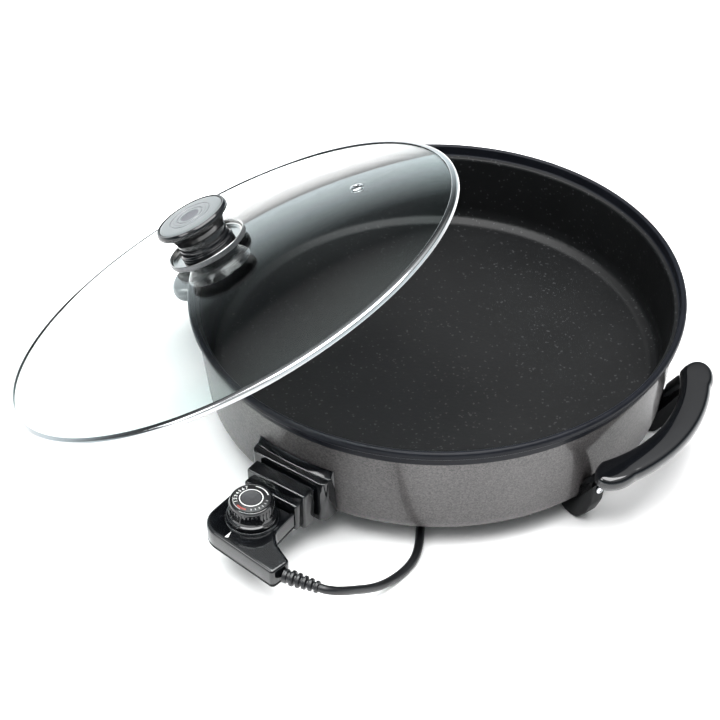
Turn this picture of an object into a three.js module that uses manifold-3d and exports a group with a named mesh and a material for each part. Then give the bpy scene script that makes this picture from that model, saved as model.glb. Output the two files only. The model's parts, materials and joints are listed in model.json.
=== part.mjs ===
// Electric pizza pan: round non-stick pan with glass lid, two handles on legs,
// a plug-in thermostat and its mains lead. Millimetres, +Z up, table at z = 0.
import * as THREE from 'three';
import { mergeVertices } from 'three/addons/utils/BufferGeometryUtils.js';
import { RoundedBoxGeometry } from 'three/addons/geometries/RoundedBoxGeometry.js';
import Module from 'manifold-3d';

const wasm = await Module();
wasm.setup();

// ---- driving dimensions -------------------------------------------------
const GAP = 0.35;                 // clearance between touching pieces
const ROUND = 48;                 // sides of the large round pieces

const RIM_RADIUS = 205;           // outer radius of the pan lip
const RIM_TOP = 115;              // height of the lip above the table
const LIP_HEIGHT = 7;
const WALL_TOP_RADIUS = 200.5;
const WALL_FOOT_RADIUS = 193;
const CORNER = 16;                // outer corner between wall and underside
const SKIRT_BOTTOM = 17;          // clear height under the pan
const FLOOR_UNDER = 38;
const FLOOR_TOP = 43;

const PLUG_Z = 34;                // height of the element pins and the probe
const PIN_X = 12;
const ELEMENT_RADIUS = 128;
const ELEMENT_TUBE = 3.7;

const SHROUD_HALF = 36;
const SHROUD_FRONT = -206;
const SHROUD_BOTTOM = 27;
const SHROUD_TOP = 66;

const GRIP_BOTTOM = 58;
const GRIP_TOP = 72;
const HANDLE_TURN = 1.2 * Math.PI / 180;   // handle axis, from square to the socket
const LEG_ANGLE = 19 * Math.PI / 180;
const LEG_HALF = 8;

const LID_RADIUS = 199;
const LID_TILT = 28.7 * Math.PI / 180;
const LID_LEAN = 192.4 * Math.PI / 180;
const LID_CENTRE = new THREE.Vector3(-99.4, -141.5, 156.4);
const DOME_RADIUS = 630;
const GLASS_RADIUS = 197;
const GLASS_THICKNESS = 3;
const GLASS_EDGE_Z = 6.4;
const VENT_RADIUS = 124;
const VENT_TURN = 49 * Math.PI / 180;

const FLANGE_BACK = -208.4;
const FLANGE_FRONT = -221.6;
const NECK_FRONT = -228.5;
const HOUSING_BOTTOM = 33;
const HOUSING_SPLIT = 36;
const HOUSING_TOP = 50;
const DIAL_Y = -251;
const DIAL_TOP = 70;
const PROBE_TIP = -122;

const CORD_RADIUS = 3.5;
const COIL_CENTRE = new THREE.Vector3(-154, 212, 0);
const COIL_RADIUS = 38;
const COIL_TOP = 22.4;
const OUTWARD = new THREE.Vector3(-0.5878, 0.809, 0);
const SIDEWAYS = new THREE.Vector3(0.809, 0.5878, 0);

// ---- materials ----------------------------------------------------------
const material = (color, roughness, metalness) =>
  new THREE.MeshStandardMaterial({ color, roughness, metalness });
const HAMMERED = material(0x77716f, 0.45, 0.5);
const BAKELITE = material(0x101112, 0.2, 0.0);
const STEEL = material(0xc9ccd0, 0.22, 1.0);
const ZINC = material(0xb4b6b8, 0.35, 1.0);
const SHEATH = material(0x8c8a86, 0.45, 0.9);
const BRASS = material(0xc8a24a, 0.3, 1.0);
const CERAMIC = material(0xe6e0d2, 0.7, 0.0);
const RUBBER = material(0x151515, 0.75, 0.0);
const PRINT = material(0x202124, 0.35, 0.0);
const CAP = material(0xa9abb0, 0.35, 0.6);
const PVC = material(0x131415, 0.5, 0.0);
const GLASS = new THREE.MeshStandardMaterial({ color: 0xdff0ee, roughness: 0.05, metalness: 0.0 });

// ---- helpers ------------------------------------------------------------
function tidy(geometry) {
  const bare = geometry.index ? geometry.toNonIndexed() : geometry.clone();
  for (const name of Object.keys(bare.attributes)) {
    if (name !== 'position') {
      bare.deleteAttribute(name);
    }
  }
  const merged = mergeVertices(bare, 1e-4);
  const index = merged.index.array;
  const place = merged.attributes.position;
  const kept = [];
  let volume = 0;
  const a = new THREE.Vector3();
  const b = new THREE.Vector3();
  const c = new THREE.Vector3();
  for (let i = 0; i < index.length; i += 3) {
    const [p, q, r] = [index[i], index[i + 1], index[i + 2]];
    if (p === q || q === r || r === p) {
      continue;
    }
    kept.push(p, q, r);
    a.fromBufferAttribute(place, p);
    b.fromBufferAttribute(place, q);
    c.fromBufferAttribute(place, r);
    volume += a.dot(b.cross(c));
  }
  if (volume < 0) {
    for (let i = 0; i < kept.length; i += 3) {
      [kept[i], kept[i + 1]] = [kept[i + 1], kept[i]];
    }
  }
  merged.setIndex(kept);
  return merged;
}

function toSolid(geometry) {
  const clean = tidy(geometry);
  return new wasm.Manifold(new wasm.Mesh({
    numProp: 3,
    vertProperties: new Float32Array(clean.attributes.position.array),
    triVerts: new Uint32Array(clean.index.array),
  }));
}

function fromSolid(solid) {
  const mesh = solid.getMesh();
  const geometry = new THREE.BufferGeometry();
  geometry.setAttribute('position', new THREE.BufferAttribute(mesh.vertProperties, 3));
  geometry.setIndex(new THREE.BufferAttribute(mesh.triVerts, 1));
  return geometry;
}

const carve = (base, ...cutters) => fromSolid(cutters.reduce(
  (solid, cutter) => solid.subtract(toSolid(cutter)), toSolid(base)));
const join = (base, ...others) => fromSolid(others.reduce(
  (solid, other) => solid.add(toSolid(other)), toSolid(base)));

// Turned piece about +Z from [radius, height] pairs.
function turned(profile, sides = ROUND) {
  const points = profile.map(([radius, height]) => new THREE.Vector2(radius, height));
  return new THREE.LatheGeometry(points, sides).rotateX(Math.PI / 2);
}

const ring = (profile, sides = ROUND) => turned([...profile, profile[0]], sides);

// Cylinder between two heights, standing on +Z.
function rod(radius, low, high, sides = 16) {
  return turned([[0, low], [radius, low], [radius, high], [0, high]], sides);
}

// Cylinder along -Y, from y = start (nearer the pan) to y = end.
function spur(radius, start, end, x, z, sides = 16) {
  return rod(radius, -start, -end, sides).rotateX(Math.PI / 2).translate(x, 0, z);
}

function box(x0, x1, y0, y1, z0, z1) {
  const block = new THREE.BoxGeometry(x1 - x0, y1 - y0, z1 - z0);
  return block.translate((x0 + x1) / 2, (y0 + y1) / 2, (z0 + z1) / 2);
}

function softBox(x0, x1, y0, y1, z0, z1, edge) {
  const block = new RoundedBoxGeometry(x1 - x0, y1 - y0, z1 - z0, 1, edge);
  return block.translate((x0 + x1) / 2, (y0 + y1) / 2, (z0 + z1) / 2);
}

function tube(points, radius, steps, sides = 10) {
  const circle = new THREE.Shape();
  circle.absarc(0, 0, radius, 0, 2 * Math.PI, false);
  const section = new THREE.Shape(circle.getSpacedPoints(sides).slice(0, sides));
  return new THREE.ExtrudeGeometry(section, {
    steps,
    extrudePath: new THREE.CatmullRomCurve3(points, false, 'centripetal'),
    bevelEnabled: false,
  });
}

// Pan-head screw standing on +Z at z = 0, shaft going down.
function screw(head, height, shaft, depth) {
  return turned([
    [0, -depth], [shaft, -depth], [shaft, 0], [head, 0], [head * 0.8, height], [0, height],
  ], 8);
}

function bodyGroup(name, parent) {
  const holder = new THREE.Group();
  holder.name = name;
  parent.add(holder);
  return holder;
}

function add(parent, name, geometry, surface) {
  const shape = tidy(geometry);
  shape.computeVertexNormals();
  const mesh = new THREE.Mesh(shape, surface);
  mesh.name = name;
  parent.add(mesh);
  return mesh;
}

const group = new THREE.Group();
group.name = 'electric_griddle';

// ---- pan ----------------------------------------------------------------
const pan = bodyGroup('pan', group);

const cornerArc = (radius, steps) => {
  const centreR = WALL_FOOT_RADIUS - CORNER;
  const centreZ = SKIRT_BOTTOM + CORNER;
  return Array.from({ length: steps + 1 }, (_, i) => {
    const turn = (i / steps) * Math.PI / 2;
    return [centreR + radius * Math.sin(turn), centreZ - radius * Math.cos(turn)];
  });
};

const panProfile = [
  [0, FLOOR_UNDER],
  [178, FLOOR_UNDER],
  [186, 35.5],
  [187, 31],
  [173, 19],
  [172, SKIRT_BOTTOM],
  ...cornerArc(CORNER, 5),
  [WALL_TOP_RADIUS, RIM_TOP - LIP_HEIGHT - 0.6],
  [RIM_RADIUS - 1.2, RIM_TOP - LIP_HEIGHT],
  [RIM_RADIUS, RIM_TOP - LIP_HEIGHT + 1.5],
  [RIM_RADIUS, RIM_TOP - 2],
  [RIM_RADIUS - 1.6, RIM_TOP - 0.3],
  [RIM_RADIUS - 3, RIM_TOP],
  [RIM_RADIUS - 4.4, RIM_TOP - 0.6],
  [RIM_RADIUS - 5, RIM_TOP - 2],
  [RIM_RADIUS - 5.2, RIM_TOP - 9],
  [RIM_RADIUS - 9.4, RIM_TOP - 9.8],
  [RIM_RADIUS - 10, RIM_TOP - 11],
  [189.8, FLOOR_TOP + 11],
  [187, FLOOR_TOP + 4],
  [180, FLOOR_TOP],
  [0, FLOOR_TOP],
];
const pinWindow = box(-24, 24, -215, -160, 28.5, FLOOR_UNDER);
add(pan, 'pan_body', carve(turned(panProfile), pinWindow), HAMMERED);

// Solid copy of the outside of the pan, slightly larger, for shaping the fittings.
const panOutside = turned([
  [0, SKIRT_BOTTOM - GAP],
  ...cornerArc(CORNER + GAP, 6),
  [WALL_TOP_RADIUS + GAP, RIM_TOP - LIP_HEIGHT - 0.6],
  [WALL_TOP_RADIUS + GAP, RIM_TOP],
  [0, RIM_TOP],
], 96);

// Tubular heating element clamped under the floor, both cold ends to the socket.
const elementZ = FLOOR_UNDER - 0.7 - ELEMENT_TUBE;
const elementPath = [];
elementPath.push(new THREE.Vector3(-PIN_X, -177, elementZ));
elementPath.push(new THREE.Vector3(-PIN_X, -165, elementZ));
elementPath.push(new THREE.Vector3(-PIN_X - 2, -149, elementZ));
for (let i = 0; i <= 24; i += 1) {
  const turn = -Math.PI / 2 - 0.22 - (i / 24) * (2 * Math.PI - 0.44);
  elementPath.push(new THREE.Vector3(
    ELEMENT_RADIUS * Math.cos(turn), ELEMENT_RADIUS * Math.sin(turn), elementZ));
}
elementPath.push(new THREE.Vector3(PIN_X + 2, -149, elementZ));
elementPath.push(new THREE.Vector3(PIN_X, -165, elementZ));
elementPath.push(new THREE.Vector3(PIN_X, -177, elementZ));
add(pan, 'heating_element', tube(elementPath, ELEMENT_TUBE, 56, 8), SHEATH);

const pinProfile = [[0, 177.4], [2.6, 177.4], [2.6, 218], [1.6, 219.4], [0, 219.4]];
for (const [side, x] of [['left', -PIN_X], ['right', PIN_X]]) {
  const pin = turned(pinProfile, 12).rotateX(Math.PI / 2).translate(x, 0, PLUG_Z);
  add(pan, `element_pin_${side}`, pin, ZINC);
}

// Blind sleeve that takes the thermostat probe.
const sleeveProfile = [
  [0, 112], [3.6, 112], [3.6, 190], [3.1, 190], [3.1, 115.5], [0, 115.5],
];
add(pan, 'probe_sleeve', turned(sleeveProfile, 14).rotateX(Math.PI / 2)
  .translate(0, 0, PLUG_Z), ZINC);

// Guard round the element pins.
const shroudPlan = new THREE.Shape();
const shroudEdge = SHROUD_HALF - 2;
const shroudNose = SHROUD_FRONT + 2;
shroudPlan.moveTo(-shroudEdge, -180);
shroudPlan.lineTo(-shroudEdge, shroudNose + 6);
shroudPlan.quadraticCurveTo(-shroudEdge, shroudNose, -shroudEdge + 6, shroudNose);
shroudPlan.lineTo(shroudEdge - 6, shroudNose);
shroudPlan.quadraticCurveTo(shroudEdge, shroudNose, shroudEdge, shroudNose + 6);
shroudPlan.lineTo(shroudEdge, -180);
const shroudBlock = new THREE.ExtrudeGeometry(shroudPlan, {
  depth: SHROUD_TOP - SHROUD_BOTTOM - 5,
  bevelThickness: 2.5,
  bevelSize: 2,
  bevelSegments: 2,
  curveSegments: 4,
}).translate(0, 0, SHROUD_BOTTOM + 2.5);
const sweepRing = toSolid(ring([
  [190, 60], [204, 60], [204, 63.8], [201.5, 65.2], [199.4, 68], [198, 72.5], [190, 72.5],
], 96));
const sweepBlock = fromSolid(sweepRing.intersect(toSolid(box(-33, 33, -215, -150, 55, 80))));
const shroud = carve(
  join(shroudBlock, sweepBlock),
  panOutside,
  box(-28, 28, -203, -180, 29.5, 60),
  spur(3.4, -195, -215, -PIN_X, PLUG_Z, 12),
  spur(3.4, -195, -215, PIN_X, PLUG_Z, 12),
  spur(3.6, -195, -215, 0, PLUG_Z, 12),
  rod(2, 20, 32, 10).translate(-32, -199, 0),
  rod(2, 20, 32, 10).translate(32, -199, 0),
);
add(pan, 'socket_shroud', shroud, BAKELITE);
for (const [side, x] of [['left', -32], ['right', 32]]) {
  const fixing = screw(3.2, 1.8, 1.6, 4).rotateX(Math.PI).translate(x, -199, SHROUD_BOTTOM - GAP);
  add(pan, `socket_screw_${side}`, fixing, STEEL);
}

// ---- handles, legs and pads --------------------------------------------
const gripPlan = new THREE.Shape();
const outerTurn = Math.asin(62 / 150);
const innerTurn = Math.asin(66 / 123);
gripPlan.absarc(86, 0, 150, -outerTurn, outerTurn, false);
gripPlan.bezierCurveTo(213, 84, 198, 86, 94.3 + 123 * Math.cos(innerTurn), 66);
gripPlan.absarc(94.3, 0, 123, innerTurn, -innerTurn, true);
gripPlan.bezierCurveTo(198, -86, 213, -84, 86 + 150 * Math.cos(outerTurn), -62);
const gripShape = () => new THREE.ExtrudeGeometry(gripPlan, {
  depth: GRIP_TOP - GRIP_BOTTOM - 7,
  bevelThickness: 3.5,
  bevelSize: 3,
  bevelSegments: 1,
  curveSegments: 8,
}).translate(0, 0, GRIP_BOTTOM + 3.5);

// Leg with its bracket, drawn in the upright plane [distance from axis, height].
const legPlan = new THREE.Shape();
legPlan.moveTo(198.2, GRIP_BOTTOM - GAP);
legPlan.lineTo(214.5, GRIP_BOTTOM - GAP);
legPlan.lineTo(214.5, 54);
legPlan.lineTo(209.2, 54);
legPlan.lineTo(208.5, 50);
legPlan.lineTo(208.5, 38);
legPlan.quadraticCurveTo(203, 11, 191, 1.2);
legPlan.quadraticCurveTo(188, 0, 184, 0);
legPlan.lineTo(179, 0);
legPlan.quadraticCurveTo(173, 2, 170, 8);
legPlan.lineTo(169, SKIRT_BOTTOM - GAP);
legPlan.lineTo(190, 40);
const legBlock = () => new THREE.ExtrudeGeometry(legPlan, {
  depth: 2 * LEG_HALF, bevelEnabled: false, curveSegments: 3,
}).translate(0, 0, -LEG_HALF).rotateX(Math.PI / 2);

const legScrewAt = 42.5;
const gripScrewAt = 211.9;
for (const [side, base] of [['right', HANDLE_TURN], ['left', Math.PI + HANDLE_TURN]]) {
  const bores = [-1, 1].map((sign) => {
    const turn = base + sign * LEG_ANGLE;
    return rod(1.6, 50, 63, 8).translate(gripScrewAt, 0, 0).rotateZ(turn);
  });
  add(pan, `grip_${side}`, carve(gripShape().rotateZ(base), ...bores), BAKELITE);
  for (const [end, sign] of [['front', side === 'right' ? -1 : 1], ['rear', side === 'right' ? 1 : -1]]) {
    const turn = base + sign * LEG_ANGLE;
    const leg = carve(
      legBlock(),
      panOutside,
      rod(1.9, 195, 220, 8).rotateY(Math.PI / 2).translate(0, 0, legScrewAt),
      rod(1.6, 50, 60, 8).translate(gripScrewAt, 0, 0),
    );
    add(pan, `leg_${side}_${end}`, leg.rotateZ(turn), BAKELITE);
    const wallScrew = screw(3.6, 2, 1.5, 8).rotateY(Math.PI / 2).translate(208.5 + GAP, 0, legScrewAt);
    add(pan, `leg_screw_${side}_${end}`, wallScrew.rotateZ(turn), STEEL);
    const gripScrew = screw(2.3, 1.6, 1.2, 8).rotateX(Math.PI).translate(gripScrewAt, 0, 54 - GAP);
    add(pan, `grip_screw_${side}_${end}`, gripScrew.rotateZ(turn), STEEL);
  }
}

for (let i = 0; i < 4; i += 1) {
  const turn = [-32, 35, 148, 215][i] * Math.PI / 180;
  const pad = turned([[0, 13], [3, 13], [4, 14], [4, 16.4], [0, 16.4]], 12);
  add(pan, `base_pad_${i + 1}`, pad.translate(178.5, 0, 0).rotateZ(turn), RUBBER);
}

// ---- lid ----------------------------------------------------------------
const lid = bodyGroup('lid', group);
const lidAxis = new THREE.Vector3(
  Math.sin(LID_TILT) * Math.cos(LID_LEAN),
  Math.sin(LID_TILT) * Math.sin(LID_LEAN),
  Math.cos(LID_TILT),
);
lid.position.copy(LID_CENTRE);
lid.quaternion.setFromUnitVectors(new THREE.Vector3(0, 0, 1), lidAxis);

const domeDrop = Math.sqrt(DOME_RADIUS ** 2 - GLASS_RADIUS ** 2);
const domeZ = (radius) => GLASS_EDGE_Z + Math.sqrt(DOME_RADIUS ** 2 - radius ** 2) - domeDrop;
const domeSteps = [4.2, 30, 60, 90, 120, 148, 175, GLASS_RADIUS];
const glassProfile = [
  ...domeSteps.map((radius) => [radius, domeZ(radius)]),
  ...domeSteps.slice().reverse().map((radius) => [radius, domeZ(radius) - GLASS_THICKNESS]),
];
const ventTilt = Math.asin(VENT_RADIUS / DOME_RADIUS);
const placeVent = (shape) => shape
  .rotateY(ventTilt)
  .translate(VENT_RADIUS, 0, domeZ(VENT_RADIUS))
  .rotateZ(VENT_TURN);
add(lid, 'lid_glass', carve(ring(glassProfile), placeVent(rod(3.6, -12, 8, 12))), GLASS);

add(lid, 'lid_rim', ring([
  [LID_RADIUS - 0.6, 2.4],
  [LID_RADIUS, 3],
  [LID_RADIUS, 6.2],
  [LID_RADIUS - 0.8, 7.2],
  [191.2, 9.35],
  [190.9, 8.65],
  [GLASS_RADIUS + 0.6, 6.7],
  [GLASS_RADIUS + 0.6, 3.1],
  [191.4, 3.1],
  [191.4, 2.4],
]), STEEL);

add(lid, 'vent_eyelet', placeVent(ring([
  [2, -4.2], [5.4, -4.2], [5.4, -3.5], [3.1, -3.5], [3.1, 0.5], [5.4, 0.5],
  [5.2, 1.1], [3, 1.4], [2, 0.9],
], 14)), STEEL);

const crown = domeZ(0);
add(lid, 'knob_seal', ring([
  [4.2, crown + 0.3], [20, crown + 0.3], [20, crown + 1.1], [4.2, crown + 1.1],
], 20), RUBBER);
add(lid, 'knob_guard', ring([
  [4.2, crown + 1.4], [27, crown + 1.4], [31.8, crown + 1.6], [33, crown + 2.6],
  [33, crown + 6], [32.2, crown + 6.8], [31.4, crown + 6.2], [31.2, crown + 3.4],
  [29.8, crown + 2.6], [4.2, crown + 2.4],
], 28), STEEL);
const knobFoot = crown + 2.8;
add(lid, 'knob_body', turned([
  [0, knobFoot + 18], [2.4, knobFoot + 18], [2.4, knobFoot], [22.6, knobFoot],
  [22.6, knobFoot + 3], [21, knobFoot + 4.5], [20.6, knobFoot + 8],
  [20.4, knobFoot + 13], [22.5, knobFoot + 19], [27.5, knobFoot + 23.5],
  [30.2, knobFoot + 25], [30.6, knobFoot + 27], [29.6, knobFoot + 29.4],
  [27.8, knobFoot + 29.8], [27.5, knobFoot + 28.6], [0, knobFoot + 28.6],
], 24), BAKELITE);
add(lid, 'knob_cap', turned([
  [0, knobFoot + 28.9], [27.1, knobFoot + 28.9], [27.1, knobFoot + 29.6],
  [25, knobFoot + 30.1], [0, knobFoot + 30.6],
], 24), CAP);
const under = crown - GLASS_THICKNESS;
add(lid, 'knob_collar', ring([
  [2.6, under - 0.4], [20.5, under - 0.8], [22.5, under - 8], [27.5, under - 14.6],
  [25, under - 15], [19.5, under - 8], [17.5, under - 4.4], [2.6, under - 4.4],
], 20), BAKELITE);
add(lid, 'knob_screw', screw(5, 2.6, 2, 25).rotateX(Math.PI).translate(0, 0, under - 4.8), STEEL);

// ---- plug-in thermostat -------------------------------------------------
const control = bodyGroup('thermostat', group);

const flange = carve(
  join(
    softBox(-28, 28, FLANGE_FRONT, FLANGE_BACK, 28, 62, 1.2),
    softBox(-26, 25, NECK_FRONT, FLANGE_FRONT + 3, 30, 55, 1.2),
  ),
  spur(4, -200, -225, -PIN_X, PLUG_Z, 14),
  spur(4, -200, -225, PIN_X, PLUG_Z, 14),
  spur(3.1, -200, -226, 0, PLUG_Z, 12),
);
add(control, 'thermostat_flange', flange, BAKELITE);

const probeProfile = [[0, -PROBE_TIP], [2, -PROBE_TIP + 1], [2.8, -PROBE_TIP + 4], [2.8, 225.5], [0, 225.5]];
add(control, 'thermostat_probe', turned(probeProfile, 12).rotateX(Math.PI / 2)
  .translate(0, 0, PLUG_Z), STEEL);
for (const [side, x] of [['left', -PIN_X], ['right', PIN_X]]) {
  const contact = ring([[2.95, 209], [3.65, 209], [3.65, 224.5], [2.95, 224.5]], 12);
  add(control, `contact_${side}`, contact.rotateX(Math.PI / 2).translate(x, 0, PLUG_Z), BRASS);
}

// Plan of the angled housing; inset moves every edge inwards.
const housingCorners = [
  [-26, NECK_FRONT - GAP], [-30, -246], [-30, -264], [-17, -282], [49, -290],
  [52, -272], [33, -263], [25, -255], [24, NECK_FRONT - GAP],
];
function housingPlan(inset, radius) {
  const count = housingCorners.length;
  const lines = housingCorners.map(([x, y], i) => {
    const [u, v] = housingCorners[(i + 1) % count];
    const length = Math.hypot(u - x, v - y);
    const normal = [-(v - y) / length, (u - x) / length];
    return { x: x + normal[0] * inset, y: y + normal[1] * inset, u: (u - x) / length, v: (v - y) / length };
  });
  const corners = lines.map((line, i) => {
    const last = lines[(i + count - 1) % count];
    const turn = last.u * line.v - last.v * line.u;
    const along = ((line.x - last.x) * line.v - (line.y - last.y) * line.u) / turn;
    return new THREE.Vector2(last.x + last.u * along, last.y + last.v * along);
  });
  const plan = new THREE.Shape();
  corners.forEach((corner, i) => {
    const before = corners[(i + count - 1) % count];
    const after = corners[(i + 1) % count];
    const cut = Math.min(radius, before.distanceTo(corner) * 0.45, after.distanceTo(corner) * 0.45);
    const start = corner.clone().lerp(before, cut / before.distanceTo(corner));
    const finish = corner.clone().lerp(after, cut / after.distanceTo(corner));
    if (i === 0) {
      plan.moveTo(start.x, start.y);
    } else {
      plan.lineTo(start.x, start.y);
    }
    plan.quadraticCurveTo(corner.x, corner.y, finish.x, finish.y);
  });
  plan.closePath();
  return plan;
}
const housingBlock = (inset, low, high, soft) => new THREE.ExtrudeGeometry(
  housingPlan(inset + soft, 7),
  {
    depth: high - low - 2 * soft,
    bevelEnabled: soft > 0,
    bevelThickness: soft,
    bevelSize: soft,
    bevelSegments: 2,
    curveSegments: 3,
  },
).translate(0, 0, low + soft);

const housingTop = carve(
  join(housingBlock(0, 28, HOUSING_TOP, 1.2), rod(21.5, 44, HOUSING_TOP + 1.4, 28).translate(0, DIAL_Y, 0)),
  box(-60, 80, -320, -200, 20, HOUSING_SPLIT),
  housingBlock(2.4, 30, HOUSING_TOP - 2.4, 0),
  rod(3.6, 40, 60, 12).translate(0, DIAL_Y, 0),
  spur(4, 60, 40, 0, 0, 12).rotateZ(-Math.PI / 2).translate(0, -280.5, 42),
);
add(control, 'thermostat_cover', housingTop, BAKELITE);
const base = carve(
  housingBlock(0, HOUSING_BOTTOM, 46, 1.2),
  box(-60, 80, -320, -200, HOUSING_SPLIT - GAP, 60),
  ...[[-22, -262], [16, -242], [42, -281]].map(([x, y]) => rod(1.8, 30, 40, 10).translate(x, y, 0)),
);
add(control, 'thermostat_base', base, BAKELITE);
[[-22, -262], [16, -242], [42, -281]].forEach(([x, y], i) => {
  const fixing = screw(2.8, 1.4, 1.4, 7).rotateX(Math.PI).translate(x, y, HOUSING_BOTTOM - GAP);
  add(control, `housing_screw_${i + 1}`, fixing, STEEL);
});

// Works inside the housing: ceramic carrier, bimetal blade and contact spring.
add(control, 'switch_carrier', box(-20, 14, -246, -236, 36.3, 41), CERAMIC);
add(control, 'bimetal_blade', box(-3, 3, -272, -237, 41.4, 42.2), ZINC);
add(control, 'contact_spring', box(-14, -8, -268, -237, 41.4, 41.9), BRASS);

// Ribbed strain relief where the lead leaves the housing.
const reliefProfile = [[0, 0], [5.6, 0], [5.6, 3]];
for (let i = 0; i < 5; i += 1) {
  const at = 4 + i * 5;
  const swell = 6.3 - i * 0.35;
  reliefProfile.push([swell - 1.5, at], [swell - 1.5, at + 1.6], [swell, at + 2.2], [swell - 0.1, at + 4.2]);
}
reliefProfile.push([4.1, 29], [0, 29]);
const reliefStart = new THREE.Vector3(52.8, -280.5, 42);
const reliefWay = new THREE.Vector3(28, 6, -1).normalize();
const reliefTurn = new THREE.Quaternion().setFromUnitVectors(new THREE.Vector3(0, 0, 1), reliefWay);
add(control, 'strain_relief', turned(reliefProfile, 10)
  .applyQuaternion(reliefTurn).translate(reliefStart.x, reliefStart.y, reliefStart.z), PVC);

// ---- dial ---------------------------------------------------------------
const dial = bodyGroup('dial', control);
add(dial, 'dial_knob', turned([
  [0, 66.5], [3.4, 66.5], [3.4, 51.9], [19.6, 51.9], [20, 52.6], [19.6, 54.6],
  [17.6, 55.6], [17.2, 67.5], [16.2, 69], [15.2, 69], [15.2, 68.4], [0, 68.4],
], 24).translate(0, DIAL_Y, 0), BAKELITE);
add(dial, 'dial_face', turned([
  [0, 68.75], [14.9, 68.75], [14.9, 69.6], [9.3, 69.6], [9.1, DIAL_TOP], [0, DIAL_TOP],
], 24).translate(0, DIAL_Y, 0), PRINT);
add(dial, 'dial_spindle', rod(3, 45.9, 66, 12).translate(0, DIAL_Y, 0), ZINC);
add(dial, 'dial_cam', rod(7, 42.8, 45.6, 16).translate(2.5, DIAL_Y, 0), CERAMIC);

// ---- mains lead, coil and plug -----------------------------------------
const lead = bodyGroup('mains_lead', group);
const reliefEnd = reliefStart.clone().addScaledVector(reliefWay, 29.5);
const coilEntry = COIL_CENTRE.clone().addScaledVector(SIDEWAYS, COIL_RADIUS);
const restZ = CORD_RADIUS + 0.4;
const leadStop = coilEntry.clone().addScaledVector(OUTWARD, -27).setZ(restZ);
add(lead, 'cord_lead', tube([
  reliefEnd,
  reliefEnd.clone().addScaledVector(reliefWay, 4),
  new THREE.Vector3(92, -266, 36.5),
  new THREE.Vector3(97, -249, 26),
  new THREE.Vector3(101, -226, 12),
  new THREE.Vector3(103, -200, restZ),
  new THREE.Vector3(103, -181, restZ),
  new THREE.Vector3(97, -165, restZ),
  new THREE.Vector3(88, -150, restZ),
  new THREE.Vector3(62, -108, restZ),
  new THREE.Vector3(10, -22, restZ),
  new THREE.Vector3(-40, 66, restZ),
  leadStop.clone().addScaledVector(OUTWARD, -80),
  leadStop,
], CORD_RADIUS, 44, 8), PVC);

add(lead, 'cord_coil', ring([
  [COIL_RADIUS - 3, 0.5], [COIL_RADIUS + 3, 0.5], [COIL_RADIUS + 4, 3], [COIL_RADIUS + 4, COIL_TOP - 2],
  [COIL_RADIUS + 2.4, COIL_TOP], [COIL_RADIUS - 2.4, COIL_TOP], [COIL_RADIUS - 4, COIL_TOP - 2],
  [COIL_RADIUS - 4, 3],
], 28).translate(COIL_CENTRE.x, COIL_CENTRE.y, 0), PVC);

const plugZ = 19;
const alongPlug = (distance) => COIL_CENTRE.clone()
  .addScaledVector(OUTWARD, -COIL_RADIUS)
  .addScaledVector(SIDEWAYS, distance)
  .setZ(plugZ);
const plugTurn = new THREE.Quaternion().setFromUnitVectors(new THREE.Vector3(0, 0, 1), SIDEWAYS);
const atPlug = (shape, distance) => {
  const spot = alongPlug(distance);
  return shape.applyQuaternion(plugTurn).translate(spot.x, spot.y, spot.z);
};
add(lead, 'cord_tail', tube([alongPlug(27), alongPlug(38), alongPlug(49.6)], CORD_RADIUS, 3, 8), PVC);
add(lead, 'plug_relief', atPlug(turned([
  [0, 0], [4.2, 0], [5, 8], [6.2, 18], [7.4, 25.6], [0, 25.6],
], 14), 50), PVC);
add(lead, 'plug_body', atPlug(turned([
  [0, 0], [9, 0], [11, 3], [15.4, 14], [18.2, 20], [18.4, 35], [17.6, 36], [0, 36],
], 24), 76), PVC);
for (const [side, shift] of [['line', -9.5], ['neutral', 9.5]]) {
  const blade = turned([[0, 0], [2.4, 0], [2.4, 17.6], [1.4, 19], [0, 19]], 10).translate(0, shift, 0);
  add(lead, `plug_pin_${side}`, atPlug(blade, 112.4), BRASS);
}

// Centre the appliance, without its lead, on the origin.
group.updateMatrixWorld(true);
const extent = new THREE.Box3();
for (const part of [pan, lid, control]) {
  extent.union(new THREE.Box3().setFromObject(part, true));
}
group.position.set(-(extent.min.x + extent.max.x) / 2, -(extent.min.y + extent.max.y) / 2, 0);

export default group;
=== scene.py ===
"""Electric pizza pan with a glass lid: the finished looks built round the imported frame."""

import json
import math

import bmesh
import bpy
import numpy as np
from mathutils import Matrix, Vector


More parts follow.
